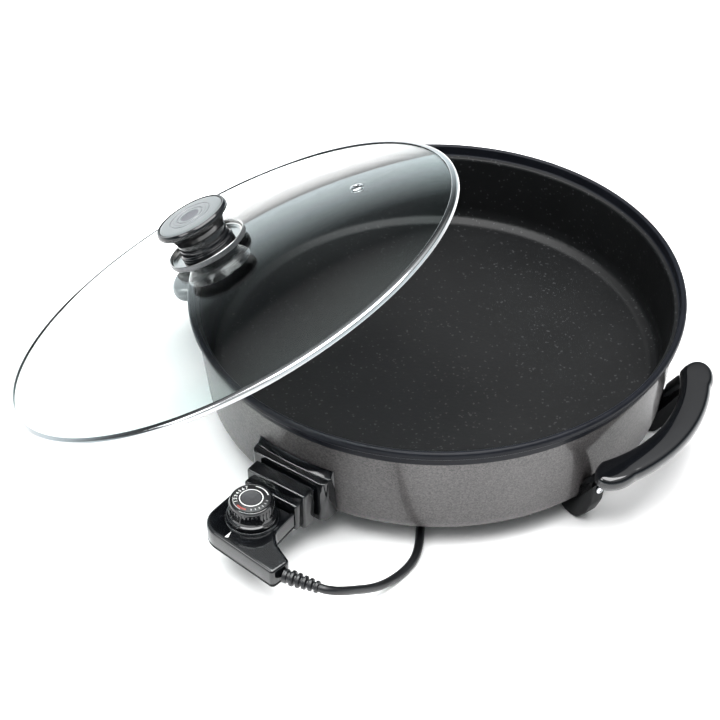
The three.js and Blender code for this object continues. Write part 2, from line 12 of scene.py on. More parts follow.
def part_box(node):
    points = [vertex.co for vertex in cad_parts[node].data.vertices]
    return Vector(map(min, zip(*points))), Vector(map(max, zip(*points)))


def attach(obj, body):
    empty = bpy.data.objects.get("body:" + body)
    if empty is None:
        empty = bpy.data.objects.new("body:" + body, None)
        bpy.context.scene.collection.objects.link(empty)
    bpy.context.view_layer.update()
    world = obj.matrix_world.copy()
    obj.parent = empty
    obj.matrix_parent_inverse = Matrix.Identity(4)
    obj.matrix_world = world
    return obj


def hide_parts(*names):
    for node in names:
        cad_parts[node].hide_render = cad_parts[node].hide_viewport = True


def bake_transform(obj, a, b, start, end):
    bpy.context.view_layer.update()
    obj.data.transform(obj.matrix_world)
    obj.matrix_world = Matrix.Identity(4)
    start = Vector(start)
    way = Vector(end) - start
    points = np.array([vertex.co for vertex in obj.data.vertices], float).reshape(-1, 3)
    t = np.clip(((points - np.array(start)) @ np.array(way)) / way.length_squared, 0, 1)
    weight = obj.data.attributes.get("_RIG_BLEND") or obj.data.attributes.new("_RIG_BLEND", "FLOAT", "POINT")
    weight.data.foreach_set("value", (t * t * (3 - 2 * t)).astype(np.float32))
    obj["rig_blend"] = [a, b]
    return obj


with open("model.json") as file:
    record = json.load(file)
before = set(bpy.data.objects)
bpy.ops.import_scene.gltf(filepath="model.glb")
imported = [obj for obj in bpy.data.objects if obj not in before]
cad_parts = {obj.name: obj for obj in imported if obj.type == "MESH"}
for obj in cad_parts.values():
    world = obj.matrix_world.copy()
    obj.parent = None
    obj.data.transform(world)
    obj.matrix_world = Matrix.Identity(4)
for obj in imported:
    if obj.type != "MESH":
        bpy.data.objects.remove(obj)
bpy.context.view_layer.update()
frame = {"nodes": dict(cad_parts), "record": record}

# ---- frame of reference -------------------------------------------------
# Pieces are drawn in millimetres about the pan's axis and placed by HOME.
MM = 0.001
SHRINK, GROW = Matrix.Scale(MM, 4), Matrix.Scale(1 / MM, 4)
QUARTER = math.pi / 2
UP = Vector((0, 0, 1))
low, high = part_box("pan_body")
AXIS_X = (low.x + high.x) / 2
AXIS_Y = (low.y + high.y) / 2
HOME = Matrix.Translation((AXIS_X, AXIS_Y, 0)) @ SHRINK


def shifted(x, y, z):
    return Matrix.Translation((x, y, z))


def spun(angle, axis="Z"):
    return Matrix.Rotation(angle, 4, axis)


def faced(way):
    """The turn that brings +Z to a direction."""
    return UP.rotation_difference(way).to_matrix().to_4x4()


def toward_front(x, z):
    """Place whose own +Z points along -Y, out of the socket."""
    return HOME @ shifted(x, 0, z) @ spun(QUARTER, "X")


def placed(name, data):
    """A new object in the scene."""
    made = bpy.data.objects.new(name, data)
    bpy.context.scene.collection.objects.link(made)
    return made


LID_TILT = math.radians(28.7)
LID_LEAN = math.radians(192.4)
LID_AXIS = Vector((
    math.sin(LID_TILT) * math.cos(LID_LEAN),
    math.sin(LID_TILT) * math.sin(LID_LEAN),
    math.cos(LID_TILT),
))
LID = HOME @ shifted(-99.4, -141.5, 156.4) @ faced(LID_AXIS)
DIAL = HOME @ shifted(0, -251.0, 0)
PLUG_Z = 34.0
PIN_X = 12


# ---- camera -------------------------------------------------------------
CAMERA_TURN, CAMERA_RISE, CAMERA_ROLL = math.radians(36), math.radians(40.59), math.radians(-0.44)
CAMERA_AWAY = 1.757
camera_data = bpy.data.cameras.new("camera")
camera_data.lens = 101.9
camera_data.sensor_width = 36
camera_data.clip_start = 0.05
camera = placed("camera", camera_data)
target = Vector((AXIS_X - 0.0625, AXIS_Y - 0.0225, 0.0176))
back = Vector((
    math.sin(CAMERA_TURN) * math.cos(CAMERA_RISE),
    -math.cos(CAMERA_TURN) * math.cos(CAMERA_RISE),
    math.sin(CAMERA_RISE),
))
camera.location = target + back * CAMERA_AWAY
level = (-back).to_track_quat("-Z", "Y").to_matrix().to_4x4()
camera.rotation_euler = (level @ spun(CAMERA_ROLL)).to_euler()
bpy.context.scene.camera = camera


# ---- node writing -------------------------------------------------------
class Wire:
    """A node's output that takes part in ordinary arithmetic."""

    def __init__(self, graph, socket):
        self.graph = graph
        self.socket = socket

    def __add__(self, other):
        return self.graph.math("ADD", self, other)

    __radd__ = __add__

    def __sub__(self, other):
        return self.graph.math("SUBTRACT", self, other)

    def __rsub__(self, other):
        return self.graph.math("SUBTRACT", other, self)

    def __mul__(self, other):
        return self.graph.math("MULTIPLY", self, other)


class Graph:
    """A node tree and what is written into it."""

    def __init__(self, tree):
        self.tree = tree

    def node(self, kind, inputs=None, out=0, **settings):
        made = self.tree.nodes.new(kind)
        for key, value in settings.items():
            setattr(made, key, value)
        for key, value in (inputs or {}).items():
            self.feed(made.inputs[key], value)
        return Wire(self, made.outputs[out])

    def feed(self, socket, value):
        if isinstance(value, Wire):
            self.tree.links.new(value.socket, socket)
        else:
            socket.default_value = value

    def math(self, kind, *values):
        return self.node("ShaderNodeMath", dict(enumerate(values)), operation=kind)

    def split(self, vector):
        parts = self.node("ShaderNodeSeparateXYZ", {0: vector}).socket.node
        return [Wire(self, part) for part in parts.outputs]

    def combine(self, x, y, z):
        return self.node("ShaderNodeCombineXYZ", {0: x, 1: y, 2: z})


class Paint(Graph):
    """One material and the nodes that make it."""

    def __init__(self, name, **constants):
        self.material = bpy.data.materials.new(name)
        self.material.use_nodes = True
        super().__init__(self.material.node_tree)
        self.finish(**constants)

    def finish(self, **sockets):
        shader = self.tree.nodes["Principled BSDF"]
        for name, value in sockets.items():
            self.feed(shader.inputs[name.replace("_", " ")], value)
        return self.material

    def coords(self):
        return self.node("ShaderNodeTexCoord", out="Object")

    def about(self, place):
        """Distance from a place's own axis, x, y and height there, in millimetres."""
        spot, spin, size = place.inverted().decompose()
        x, y, z = self.split(self.node("ShaderNodeMapping", {
            "Vector": self.coords(), "Location": spot,
            "Rotation": spin.to_euler(), "Scale": size,
        }, vector_type="POINT"))
        return self.math("SQRT", x * x + y * y), x, y, z

    def noise(self, scale, detail=3.0, rough=0.5, vector=None):
        return self.node("ShaderNodeTexNoise", {
            "Vector": vector or self.coords(), "Scale": scale,
            "Detail": detail, "Roughness": rough,
        }, "Fac")

    def cells(self, scale, feature="F1", out="Distance"):
        return self.node("ShaderNodeTexVoronoi", {
            "Vector": self.coords(), "Scale": scale,
        }, out, feature=feature)

    def cell_tone(self, scale):
        """One random value in each cell."""
        return self.node("ShaderNodeSeparateColor", {"Color": self.cells(scale, out="Color")})

    def mix(self, share, first, second):
        first, second = (c if isinstance(c, Wire) else (*c, 1) for c in (first, second))
        return self.node("ShaderNodeMix", {0: share, 6: first, 7: second}, 2, data_type="RGBA")

    def step(self, value, start, end):
        """0 before start, 1 after end, smooth between."""
        return self.node("ShaderNodeMapRange", {
            "Value": value, "From Min": start, "From Max": end,
        }, interpolation_type="SMOOTHSTEP")

    def band(self, value, start, end, soft):
        """1 between start and end."""
        return self.step(value, start - soft, start) * (1 - self.step(value, end, end + soft))

    def most(self, *values):
        """The largest of three values."""
        return self.math("MAXIMUM", self.math("MAXIMUM", *values[:2]), values[2])

    def bump(self, height, distance, strength):
        return self.node("ShaderNodeBump", {
            "Height": height, "Distance": distance, "Strength": strength,
        })


# ---- materials ----------------------------------------------------------
def hammered():
    """Grey hammered enamel: fine light and dark speckle over soft dimples."""
    p = Paint("hammered_enamel", Specular_IOR_Level=0.4, Coat_Roughness=0.13)
    tone = p.cell_tone(980)
    cloud = p.noise(14, 3)
    fine = p.noise(1700, 2, 0.6)
    share = tone * 0.65 + fine * 0.6 + (cloud - 0.5) * 0.25 - 0.12
    return p.finish(
        Base_Color=p.mix(share, (0.009, 0.008, 0.009), (0.086, 0.080, 0.079)),
        Metallic=0.1 + tone * 0.15,
        Roughness=0.42 + fine * 0.2, Coat_Weight=0.45 + cloud * 0.2,
        Normal=p.bump(p.cells(520, "SMOOTH_F1") * 0.6 + fine * 0.4, 0.0004, 0.45),
    )


def lip_enamel():
    """Smooth blue-black enamel on the rolled lip."""
    p = Paint("lip_enamel", Specular_IOR_Level=0.13)
    streak = p.noise(60, 4)
    return p.finish(
        Base_Color=p.mix(streak, (0.0060, 0.0066, 0.0088), (0.0125, 0.0138, 0.0180)),
        Roughness=0.26 + streak * 0.12,
        Normal=p.bump(p.noise(420, 2), 0.0002, 0.12),
    )


def nonstick():
    """Black non-stick coating with a light orange peel and a fine fleck."""
    p = Paint("nonstick", Specular_IOR_Level=0.2)
    fleck = p.step(p.cell_tone(700), 0.965, 0.985)
    worn = p.noise(9, 5, 0.6)
    base = p.mix(worn, (0.0055, 0.0058, 0.0062), (0.0115, 0.0120, 0.0125))
    return p.finish(
        Base_Color=p.mix(fleck * 0.22, base, (0.11, 0.11, 0.115)),
        Roughness=0.30 + worn * 0.12,
        Normal=p.bump(p.noise(260, 3, 0.55), 0.0004, 0.22),
    )


def bare_floor():
    """Cast aluminium underside, spun and heat-dulled."""
    p = Paint("cast_underside", Metallic=1.0)
    far = p.about(HOME)[0]
    rings = p.math("SINE", far * 3.1) * 0.5 + 0.5
    heat = p.band(far, 112, 142, 14)
    cloud = p.noise(20, 4)
    colour = p.mix(cloud, (0.34, 0.34, 0.345), (0.50, 0.50, 0.50))
    return p.finish(
        Base_Color=p.mix(heat * 0.6, colour, (0.20, 0.17, 0.14)),
        Roughness=0.38 + cloud * 0.2,
        Normal=p.bump(rings * 0.3 + p.noise(500, 2) * 0.7, 0.0002, 0.3),
    )


def bakelite(name, rough, peel, tint=(0.0036, 0.0040, 0.0048), shine=0.55, lacquer=0.26):
    """Moulded black bakelite with faint flow marks and handling haze."""
    p = Paint(name, Specular_IOR_Level=shine, Coat_Roughness=0.03)
    flow = p.noise(34, 5, 0.6)
    haze = p.noise(11, 3, 0.5)
    pits = p.noise(900, 2, 0.5)
    return p.finish(
        Base_Color=p.mix(flow, tint, tuple(2.1 * c for c in tint)),
        Roughness=rough + haze * 0.03 + pits * 0.01,
        Coat_Weight=lacquer + haze * 0.2 * lacquer,
        Normal=p.bump(flow * 0.5 + pits * 0.02, peel, 0.12),
    )


def steel(name, rough, lines, place, tint):
    """Polished stainless steel with fine turning lines round its axis."""
    p = Paint(name)
    far, x, y, z = p.about(place)
    line = p.noise(1.0, 2, 0.6, vector=p.combine(far * lines, z * lines, 0.0))
    smear = p.noise(24, 4)
    return p.finish(
        Base_Color=p.mix(smear, tuple(0.82 * c for c in tint), tint),
        Metallic=0.97 + line * 0.03,
        Roughness=rough + line * 0.07 + smear * 0.06,
        Normal=p.bump(line, 0.00006, 0.3),
    )


def guard_steel():
    """Guard disc: bright dish with a brushed edge band whose dark colour is a painted reflection."""
    p = Paint("guard_steel")
    far, x, y, z = p.about(LID)
    angle = p.math("ARCTAN2", y, x)
    brush = p.noise(1.0, 2, 0.5, vector=p.combine(angle * 90, z * 0.2, 0.0))
    # Mask of the rolled edge band that takes the painted dark reflection.
    side = p.step(far, 32.55, 32.8)
    smear = p.noise(40, 3)
    bright = p.mix(smear, (0.34, 0.34, 0.34), (0.44, 0.44, 0.43))
    # Painted dark reflection: the edge band's near-black steel colour stands in for the dark surroundings it
    # mirrors; the brushing is real.
    dark = p.mix(brush, (0.045, 0.047, 0.05), (0.22, 0.22, 0.225))
    return p.finish(
        Base_Color=p.mix(side, bright, dark), Metallic=0.98 + smear * 0.02,
        Roughness=0.14 + side * 0.2 + brush * 0.06,
        Normal=p.bump(brush * side, 0.0001, 0.3),
    )


def cap_silver():
    """Silver inlay on the knob: stamped rings round a darker centre."""
    p = Paint("cap_silver", Specular_IOR_Level=0.25)
    far = p.about(LID)[0]
    grooves = p.most(*(
        p.band(far, start, end, 0.25) for start, end in ((17.0, 17.7), (14.1, 14.7), (10.6, 11.4))
    ))
    core = 1 - p.step(far, 7.2, 8.4)
    lathed = p.math("SINE", far * 9.0) * 0.5 + 0.5
    cloud = p.noise(50, 3)
    base = p.mix(cloud * 0.6 + lathed * 0.4, (0.115, 0.126, 0.130), (0.180, 0.194, 0.198))
    ringed = p.mix(grooves * 0.75, base, (0.13, 0.13, 0.14))
    centre = p.mix(lathed, (0.030, 0.030, 0.040), (0.13, 0.13, 0.145))
    return p.finish(
        Base_Color=p.mix(core * 0.8, ringed, centre),
        Metallic=0.15 + cloud * 0.1, Roughness=0.30 + lathed * 0.1 + core * 0.08,
        Normal=p.bump(lathed * 0.25 - grooves, 0.0002, 0.6),
    )


def lid_glass():
    """Clear tempered glass with the faint green of a thick sheet."""
    p = Paint("lid_glass", Transmission_Weight=1.0, IOR=1.48, Specular_IOR_Level=0.5)
    edge = p.step(p.about(LID)[0], 150, 196)
    return p.finish(
        Base_Color=p.mix(edge, (0.955, 0.985, 0.98), (0.86, 0.955, 0.94)),
        Roughness=p.noise(7, 2) * 0.015,
    )


def plated(name, tint, rough):
    """Plated or heat-dulled metal with a soft mottled sheen."""
    p = Paint(name)
    cloud = p.noise(90, 4)
    scratch = p.noise(1400, 2, 0.7)
    return p.finish(
        Base_Color=p.mix(cloud, tuple(0.62 * c for c in tint), tint),
        Metallic=0.94 + cloud * 0.06,
        Roughness=rough + cloud * 0.14 + scratch * 0.05,
        Normal=p.bump(scratch, 0.00006, 0.35),
    )


def matt(name, dark, light, rough, grain, depth):
    """Soft PVC, rubber or unglazed ceramic, by colour and grain."""
    p = Paint(name)
    cloud = p.noise(30, 4)
    pits = p.noise(grain, 3, 0.6)
    return p.finish(
        Base_Color=p.mix(cloud * 0.6 + pits * 0.4, dark, light),
        Roughness=rough + pits * 0.12,
        Normal=p.bump(pits, depth, 0.4),
    )


def dial_print():
    """Printed face of the dial: ring, scale arcs and a grey centre field."""
    p = Paint("dial_print", Specular_IOR_Level=0.5)
    far, x, y, z = p.about(DIAL)
    angle = p.math("ARCTAN2", y, x) * (180 / math.pi)
    grain = p.noise(1500, 2)
    ink = p.mix(grain, (0.70, 0.70, 0.69), (0.86, 0.86, 0.85))
    hoop = p.band(far, 8.7, 9.3, 0.15)
    white_arc = p.band(far, 12.9, 13.6, 0.12) * p.band(angle, 52, 112, 2)
    low_arc = p.band(far, 14.0, 14.4, 0.12) * p.band(p.math("ABSOLUTE", angle + 120), -1, 30, 2)
    red_arc = p.band(far, 12.0, 13.4, 0.15) * p.band(angle, -108, -72, 2)
    waves = p.math("ABSOLUTE", p.math("SINE", angle * (math.pi / 180 * 12)))
    ticks = p.band(waves, 0.93, 2.0, 0.03)
    faint = p.band(far, 11.6, 13.2, 0.15) * p.band(angle, -62, 30, 2) * ticks
    centre = 1 - p.step(far, 7.4, 7.9)
    base = p.mix(grain * 0.5, (0.010, 0.010, 0.011), (0.022, 0.022, 0.024))
    field = p.mix(centre * (0.35 + p.noise(420, 2) * 0.5), base, (0.075, 0.075, 0.080))
    whites = p.most(hoop, white_arc, low_arc * 0.5)
    colour = p.mix(red_arc, p.mix(whites, field, ink), (0.26, 0.035, 0.025))
    return p.finish(
        Base_Color=p.mix(faint * 0.35, colour, ink), Roughness=0.26 + grain * 0.1,
        Normal=p.bump(whites, 0.00004, 0.4),
    )


def white_ink():
    """White pad-printed ink."""
    p = Paint("white_ink")
    grain = p.noise(1600, 2)
    return p.finish(
        Base_Color=p.mix(grain, (0.62, 0.62, 0.61), (0.84, 0.84, 0.83)),
        Roughness=0.42 + grain * 0.15, Normal=p.bump(grain, 0.00002, 0.3),
    )


HAMMERED, LIP, NONSTICK, UNDERSIDE = hammered(), lip_enamel(), nonstick(), bare_floor()
GLOSS = bakelite("gloss_bakelite", 0.05, 0.00018)
SATIN = bakelite("satin_bakelite", 0.34, 0.0004, (0.0034, 0.0037, 0.0042), 0.15, 0.03)
KNOB_BLACK = bakelite("knob_bakelite", 0.07, 0.00012, shine=0.42, lacquer=0.10)
RIM_STEEL = steel("rim_steel", 0.08, 2.2, LID, (0.43, 0.44, 0.45))
SCREW_STEEL = plated("screw_steel", (0.72, 0.73, 0.75), 0.20)
PROBE_STEEL = plated("probe_steel", (0.74, 0.75, 0.76), 0.16)
GUARD_STEEL = guard_steel()
SHEATH = plated("element_sheath", (0.34, 0.33, 0.315), 0.36)
ZINC = plated("zinc_plate", (0.62, 0.63, 0.66), 0.26)
BRASS = plated("brass_plate", (0.78, 0.60, 0.28), 0.22)
CERAMIC = matt("ceramic", (0.60, 0.57, 0.50), (0.78, 0.75, 0.68), 0.60, 700, 0.0002)
RUBBER = matt("rubber", (0.010, 0.010, 0.010), (0.024, 0.024, 0.024), 0.66, 900, 0.0002)
PVC = matt("cord_pvc", (0.0065, 0.0068, 0.0078), (0.0135, 0.0142, 0.0160), 0.28, 1100, 0.00008)
CAP, GLASS, PRINT, INK = cap_silver(), lid_glass(), dial_print(), white_ink()

FINISH = {
    "hammered_paint": HAMMERED, "sheath": SHEATH, "glass": GLASS, "bright_steel": SCREW_STEEL,
    "zinc": ZINC, "brass": BRASS, "ceramic": CERAMIC, "rubber": RUBBER, "dial_print": PRINT,
    "cap_silver": CAP, "pvc": PVC, "bakelite": GLOSS,
}


# ---- mesh making --------------------------------------------------------
def fillet(points, closed=False, steps=4):
    """Rounds each corner (a, b, radius) of a polyline; a corner without a radius stays sharp."""
    out = []
    count = len(points)
    for i, point in enumerate(points):
        here = np.array(point[:2], float)
        radius = point[2] if len(point) > 2 else 0
        if not radius or (not closed and i in (0, count - 1)):
            out.append(tuple(here))
            continue
        back_way = np.array(points[i - 1][:2], float) - here
        on_way = np.array(points[(i + 1) % count][:2], float) - here
        back_run, on_run = np.linalg.norm(back_way), np.linalg.norm(on_way)
        back_way /= back_run
        on_way /= on_run
        bend = math.acos(max(-1, min(1, float(back_way @ on_way))))
        if bend > math.pi - 0.01:
            out.append(tuple(here))
            continue
        reach = min(radius / math.tan(bend / 2), 0.49 * back_run, 0.49 * on_run)
        radius = reach * math.tan(bend / 2)
        middle = (back_way + on_way) / np.linalg.norm(back_way + on_way)
        centre = here + middle * radius / math.sin(bend / 2)
        first = here + back_way * reach - centre
        last = here + on_way * reach - centre
        start = math.atan2(first[1], first[0])
        sweep = math.atan2(last[1], last[0]) - start
        sweep = (sweep + math.pi) % (2 * math.pi) - math.pi
        for k in range(steps + 1):
            at = start + sweep * k / steps
            out.append((centre[0] + radius * math.cos(at), centre[1] + radius * math.sin(at)))
    return out


def raised(base, corners):
    """Corners whose heights count from a base."""
    return [(radius, base + height, *rounding) for radius, height, *rounding in corners]


def shaded(mesh, sharp=38):
    mesh.shade_smooth()
    mesh.set_sharp_from_angle(angle=math.radians(sharp))


def evaluated(piece):
    """A new plain mesh of a piece with its modifiers applied."""
    graph = bpy.context.evaluated_depsgraph_get()
    return bpy.data.meshes.new_from_object(piece.evaluated_get(graph), depsgraph=graph)


def build(name, points, faces, place, paints, zones=None, sharp=38):
    """A smooth-shaded mesh object from points in millimetres."""
    mesh = bpy.data.meshes.new(name)
    spots = np.array(points, float) @ np.array(place.to_3x3()).T + np.array(place.translation)
    mesh.from_pydata(spots.tolist(), [], faces)
    for paint in paints:
        mesh.materials.append(paint)
    if zones is not None:
        mesh.polygons.foreach_set("material_index", zones)
    mesh.validate()
    work = bmesh.new()
    work.from_mesh(mesh)
    bmesh.ops.remove_doubles(work, verts=work.verts, dist=1e-7)
    bmesh.ops.recalc_face_normals(work, faces=work.faces)
    work.to_mesh(mesh)
    work.free()
    shaded(mesh, sharp)
    return placed(name, mesh)


def turned(name, corners, place, paints, sides=96, steps=4, closed=False, zones=None, sharp=38):
    """A piece turned about its own +Z from (radius, height, rounding) corners."""
    rows, points, faces, marks = [], [], [], []
    for radius, height in fillet(corners, closed, steps):
        if radius < 1e-6:
            rows.append([len(points)] * sides)
            points.append((0, 0, height))
            continue
        rows.append(range(len(points), len(points) + sides))
        for i in range(sides):
            at = 2 * math.pi * i / sides
            points.append((radius * math.cos(at), radius * math.sin(at), height))
    pairs = list(zip(range(len(rows)), range(1, len(rows))))
    if closed:
        pairs.append((len(rows) - 1, 0))
    for k, (a, b) in enumerate(pairs):
        for i in range(sides):
            j = (i + 1) % sides
            loop = list(dict.fromkeys([rows[a][i], rows[a][j], rows[b][j], rows[b][i]]))
            if len(loop) > 2:
                faces.append(loop)
                marks.append(zones[k] if zones else 0)
    return build(name, points, faces, place, paints, marks, sharp)


def banded(count, size):
    """Faces between rows of points, each row a closed loop of the same size."""
    faces = []
    for k in range(count - 1):
        a, b = k * size, (k + 1) * size
        for i in range(size):
            j = (i + 1) % size
            faces.append([a + i, a + j, b + j, b + i])
    faces.append(list(range(size))[::-1])
    faces.append(list(range((count - 1) * size, count * size)))
    return faces


def inset_of(outline, inset):
    """The outline moved inwards by inset; it runs anticlockwise."""
    outline = np.array(outline, float)
    way = np.roll(outline, -1, 0) - np.roll(outline, 1, 0)
    way /= np.linalg.norm(way, axis=1)[:, None]
    return outline + np.stack([-way[:, 1], way[:, 0]], 1) * inset


def slab(name, outline, levels, place, paints, sharp=38):
    """A block with that outline, from (inset, height) levels, capped at both ends."""
    points = [(x, y, height) for inset, height in levels for x, y in inset_of(outline, inset)]
    return build(name, points, banded(len(levels), len(outline)), place, paints, None, sharp)


def swept(name, line, radius, paints, sides=20):
    """A round tube along a line of points."""
    line = [Vector(p) for p in line]
    points = []
    side = (line[1] - line[0]).normalized().orthogonal().normalized()
    for i, spot in enumerate(line):
        way = (line[min(i + 1, len(line) - 1)] - line[max(i - 1, 0)]).normalized()
        side = (side - way * side.dot(way)).normalized()
        other = way.cross(side)
        for k in range(sides):
            at = 2 * math.pi * k / sides
            points.append(spot + (side * math.cos(at) + other * math.sin(at)) * radius)
    return build(name, points, banded(len(line), sides), HOME, paints, None, 50)


def cut(piece, *cutters):
    """Takes the cutters' solids out of a piece."""
    for cutter in cutters:
        change = piece.modifiers.new("cut", "BOOLEAN")
        change.operation = "DIFFERENCE"
        change.solver = "EXACT"
        change.object = cutter
    whole = evaluated(piece)
    piece.modifiers.clear()
    piece.data = whole
    whole.name = piece.name
    shaded(whole)
    for cutter in cutters:
        bpy.data.objects.remove(cutter)
    return piece


def box_outline(x0, x1, y0, y1, *radius):
    return [(x0, y0, *radius), (x1, y0, *radius), (x1, y1, *radius), (x0, y1, *radius)]


def block(name, x0, x1, y0, y1, z0, z1):
    """A plain cutter block."""
    return slab(name, box_outline(x0, x1, y0, y1), [(0, z0), (0, z1)], HOME, [GLOSS])


def bore(x, radius, near, far):
    """A round cutter that runs out of the socket."""
    corners = [(0, near), (radius, near), (radius, far), (0, far)]
    return turned("bore", corners, toward_front(x, PLUG_Z), [GLOSS], 32)


def joined(first, *others):
    """Several pieces made into one."""
    work = bmesh.new()
    for piece in (first, *others):
        work.from_mesh(piece.data)
    work.to_mesh(first.data)
    work.free()
    for piece in others:
        bpy.data.objects.remove(piece)
    return first


def settle(piece, body, slot, *nodes):
    """Puts a finished piece on its body in place of CAD nodes; the slot is not used."""
    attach(piece, body)
    if nodes:
        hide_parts(*nodes)
    return piece


# ---- repeating pieces through Geometry Nodes ----------------------------
def repeat_tree(name, ring):
    """Instances of one piece at points, or round a ring, as a plain mesh."""
    tree = bpy.data.node_groups.new(name, "GeometryNodeTree")
    sockets = [("Geometry", "Geometry"), ("Piece", "Object"), ("Finish", "Material")]
    sockets += [("Count", "Int"), ("Radius", "Float")] if ring else [("Size", "Float")]
    for title, kind in sockets:
        tree.interface.new_socket(title, in_out="INPUT", socket_type="NodeSocket" + kind)
    tree.interface.new_socket("Geometry", in_out="OUTPUT", socket_type="NodeSocketGeometry")
    g = Graph(tree)
    entry = tree.nodes.new("NodeGroupInput")
    given = {title: Wire(g, entry.outputs[title]) for title, kind in sockets}
    piece = g.node("GeometryNodeObjectInfo", {"Object": given["Piece"]}, "Geometry",
                   transform_space="ORIGINAL")
    inputs = {"Instance": piece}
    if ring:
        inputs["Points"] = g.node("GeometryNodeMeshCircle", {
            "Vertices": given["Count"], "Radius": given["Radius"],
        })
        x, y, z = g.split(g.node("GeometryNodeInputPosition"))
        lean = g.combine(0.0, 0.0, g.math("ARCTAN2", y, x))
    else:
        inputs["Points"] = given["Geometry"]
        inputs["Scale"] = given["Size"]
        lean = g.node("GeometryNodeInputNamedAttribute", {"Name": "turn"}, "Attribute",
                      data_type="FLOAT_VECTOR")
    inputs["Rotation"] = g.node("FunctionNodeEulerToRotation", {0: lean})
    copies = g.node("GeometryNodeInstanceOnPoints", inputs)
    real = g.node("GeometryNodeRealizeInstances", {"Geometry": copies})
    painted = g.node("GeometryNodeSetMaterial", {"Geometry": real, "Material": given["Finish"]})
    g.feed(tree.nodes.new("NodeGroupOutput").inputs["Geometry"], painted)
    return tree


SPOTS_TREE = repeat_tree("repeat_at_spots", False)
RING_TREE = repeat_tree("repeat_round_ring", True)


def repeated(name, piece, paint, place=None, spots=None, count=0, radius=0.0):
    """One plain mesh of a small piece repeated at spots, or round a ring in place."""
    mesh = bpy.data.meshes.new(name)
    if spots:
        spots = [spot @ GROW for spot in spots]
        mesh.from_pydata([s.to_translation() for s in spots], [], [])
        turns = mesh.attributes.new("turn", "FLOAT_VECTOR", "POINT")
        turns.data.foreach_set("vector", [a for s in spots for a in s.to_euler()])
    holder = placed(name + "_holder", mesh)
    change = holder.modifiers.new("repeat", "NODES")
    change.node_group = SPOTS_TREE if spots else RING_TREE
    values = {"Piece": piece, "Finish": paint}
    values.update({"Size": 1.0} if spots else {"Count": count, "Radius": radius * MM})
    for item in change.node_group.interface.items_tree:
        if item.in_out == "INPUT" and item.name in values:
            change[item.identifier] = values[item.name]
    flat = evaluated(holder)
    flat.name = name
    if place:
        flat.transform(place @ GROW)
    for stored in [a.name for a in flat.attributes if a.name == "turn"]:
        flat.attributes.remove(flat.attributes[stored])
    shaded(flat)
    bpy.data.objects.remove(holder)
    bpy.data.objects.remove(piece)
    return placed(name, flat)


# ---- mains lead, coil and plug ------------------------------------------
CORD_RADIUS = 3.5
COIL_CENTRE = Vector((-154, 212, 0))
COIL_RADIUS = 38
OUTWARD = Vector((-0.5878, 0.809, 0))
SIDEWAYS = Vector((0.809, 0.5878, 0))
RELIEF_START = Vector((52.8, -280.5, 42))
RELIEF_WAY = Vector((28, 6, -1)).normalized()
REST_Z = CORD_RADIUS + 0.4


def through(points, steps):
    """Centripetal spline through points."""
    points = [Vector(p) for p in points]
    points = [2 * points[0] - points[1], *points, 2 * points[-1] - points[-2]]
    out = []
    for p0, p1, p2, p3 in zip(points, points[1:], points[2:], points[3:]):
        t0 = 0.0
        t1 = t0 + (p1 - p0).length ** 0.5
        t2 = t1 + (p2 - p1).length ** 0.5
        t3 = t2 + (p3 - p2).length ** 0.5
        for k in range(steps):
            t = t1 + (t2 - t1) * k / steps
            a1 = p0 * ((t1 - t) / (t1 - t0)) + p1 * ((t - t0) / (t1 - t0))
            a2 = p1 * ((t2 - t) / (t2 - t1)) + p2 * ((t - t1) / (t2 - t1))
            a3 = p2 * ((t3 - t) / (t3 - t2)) + p3 * ((t - t2) / (t3 - t2))
            b1 = a1 * ((t2 - t) / (t2 - t0)) + a2 * ((t - t0) / (t2 - t0))
            b2 = a2 * ((t3 - t) / (t3 - t1)) + a3 * ((t - t1) / (t3 - t1))
            out.append(b1 * ((t2 - t) / (t2 - t1)) + b2 * ((t - t1) / (t2 - t1)))
    out.append(points[-2])
    return out


def round_coil(at):
    """Direction from the coil's centre after a turn."""
    return SIDEWAYS * math.cos(at) + OUTWARD * math.sin(at)


relief_end = RELIEF_START + RELIEF_WAY * 29.5
lead_stop = COIL_CENTRE + SIDEWAYS * COIL_RADIUS - OUTWARD * 27
lead_stop.z = REST_Z
route = [
    relief_end,
    relief_end + RELIEF_WAY * 4,
    (92, -266, 36.5), (97, -249, 26), (101, -226, 12), (103, -200, REST_Z),
    (103, -181, REST_Z), (97, -165, REST_Z), (88, -150, REST_Z), (62, -108, REST_Z),
    (10, -22, REST_Z), (-40, 66, REST_Z),
    lead_stop - OUTWARD * 80,
    lead_stop,
    lead_stop + OUTWARD * 14,
]
# Distance from the coil's centre and height at each quarter turn.
COIL_TURNS = [
    (38.0, 3.9), (40.0, 3.9), (42.0, 4.2), (42.5, 5.2), (41.5, 9.9), (40.5, 10.9),
    (39.6, 11.0), (39.2, 12.2), (39.3, 16.5), (39.5, 17.9), (38.8, 18.1), (38.0, 19.0),
]
PARTS = 6
for i in range(len(COIL_TURNS) * PARTS - 5):
    quarter = i / PARTS
    spread, lift = (np.interp(quarter, range(len(COIL_TURNS)), row) for row in zip(*COIL_TURNS))
    spot = COIL_CENTRE + round_coil(quarter * QUARTER) * spread
    spot.z = lift
    route.append(spot)
tail_start = COIL_CENTRE - OUTWARD * COIL_RADIUS
tail_start.z = 19
route += [tail_start + SIDEWAYS * along for along in (14, 27, 38, 49.6, 52)]
smooth = np.array(through(route, 4))
for _ in range(2):
    smooth[2:-2] = (smooth[1:-3] + 2 * smooth[2:-2] + smooth[3:-1]) / 4
cord_line = [Vector(p) for p in smooth]

mains_lead = swept("mains_lead", cord_line, CORD_RADIUS, [PVC])

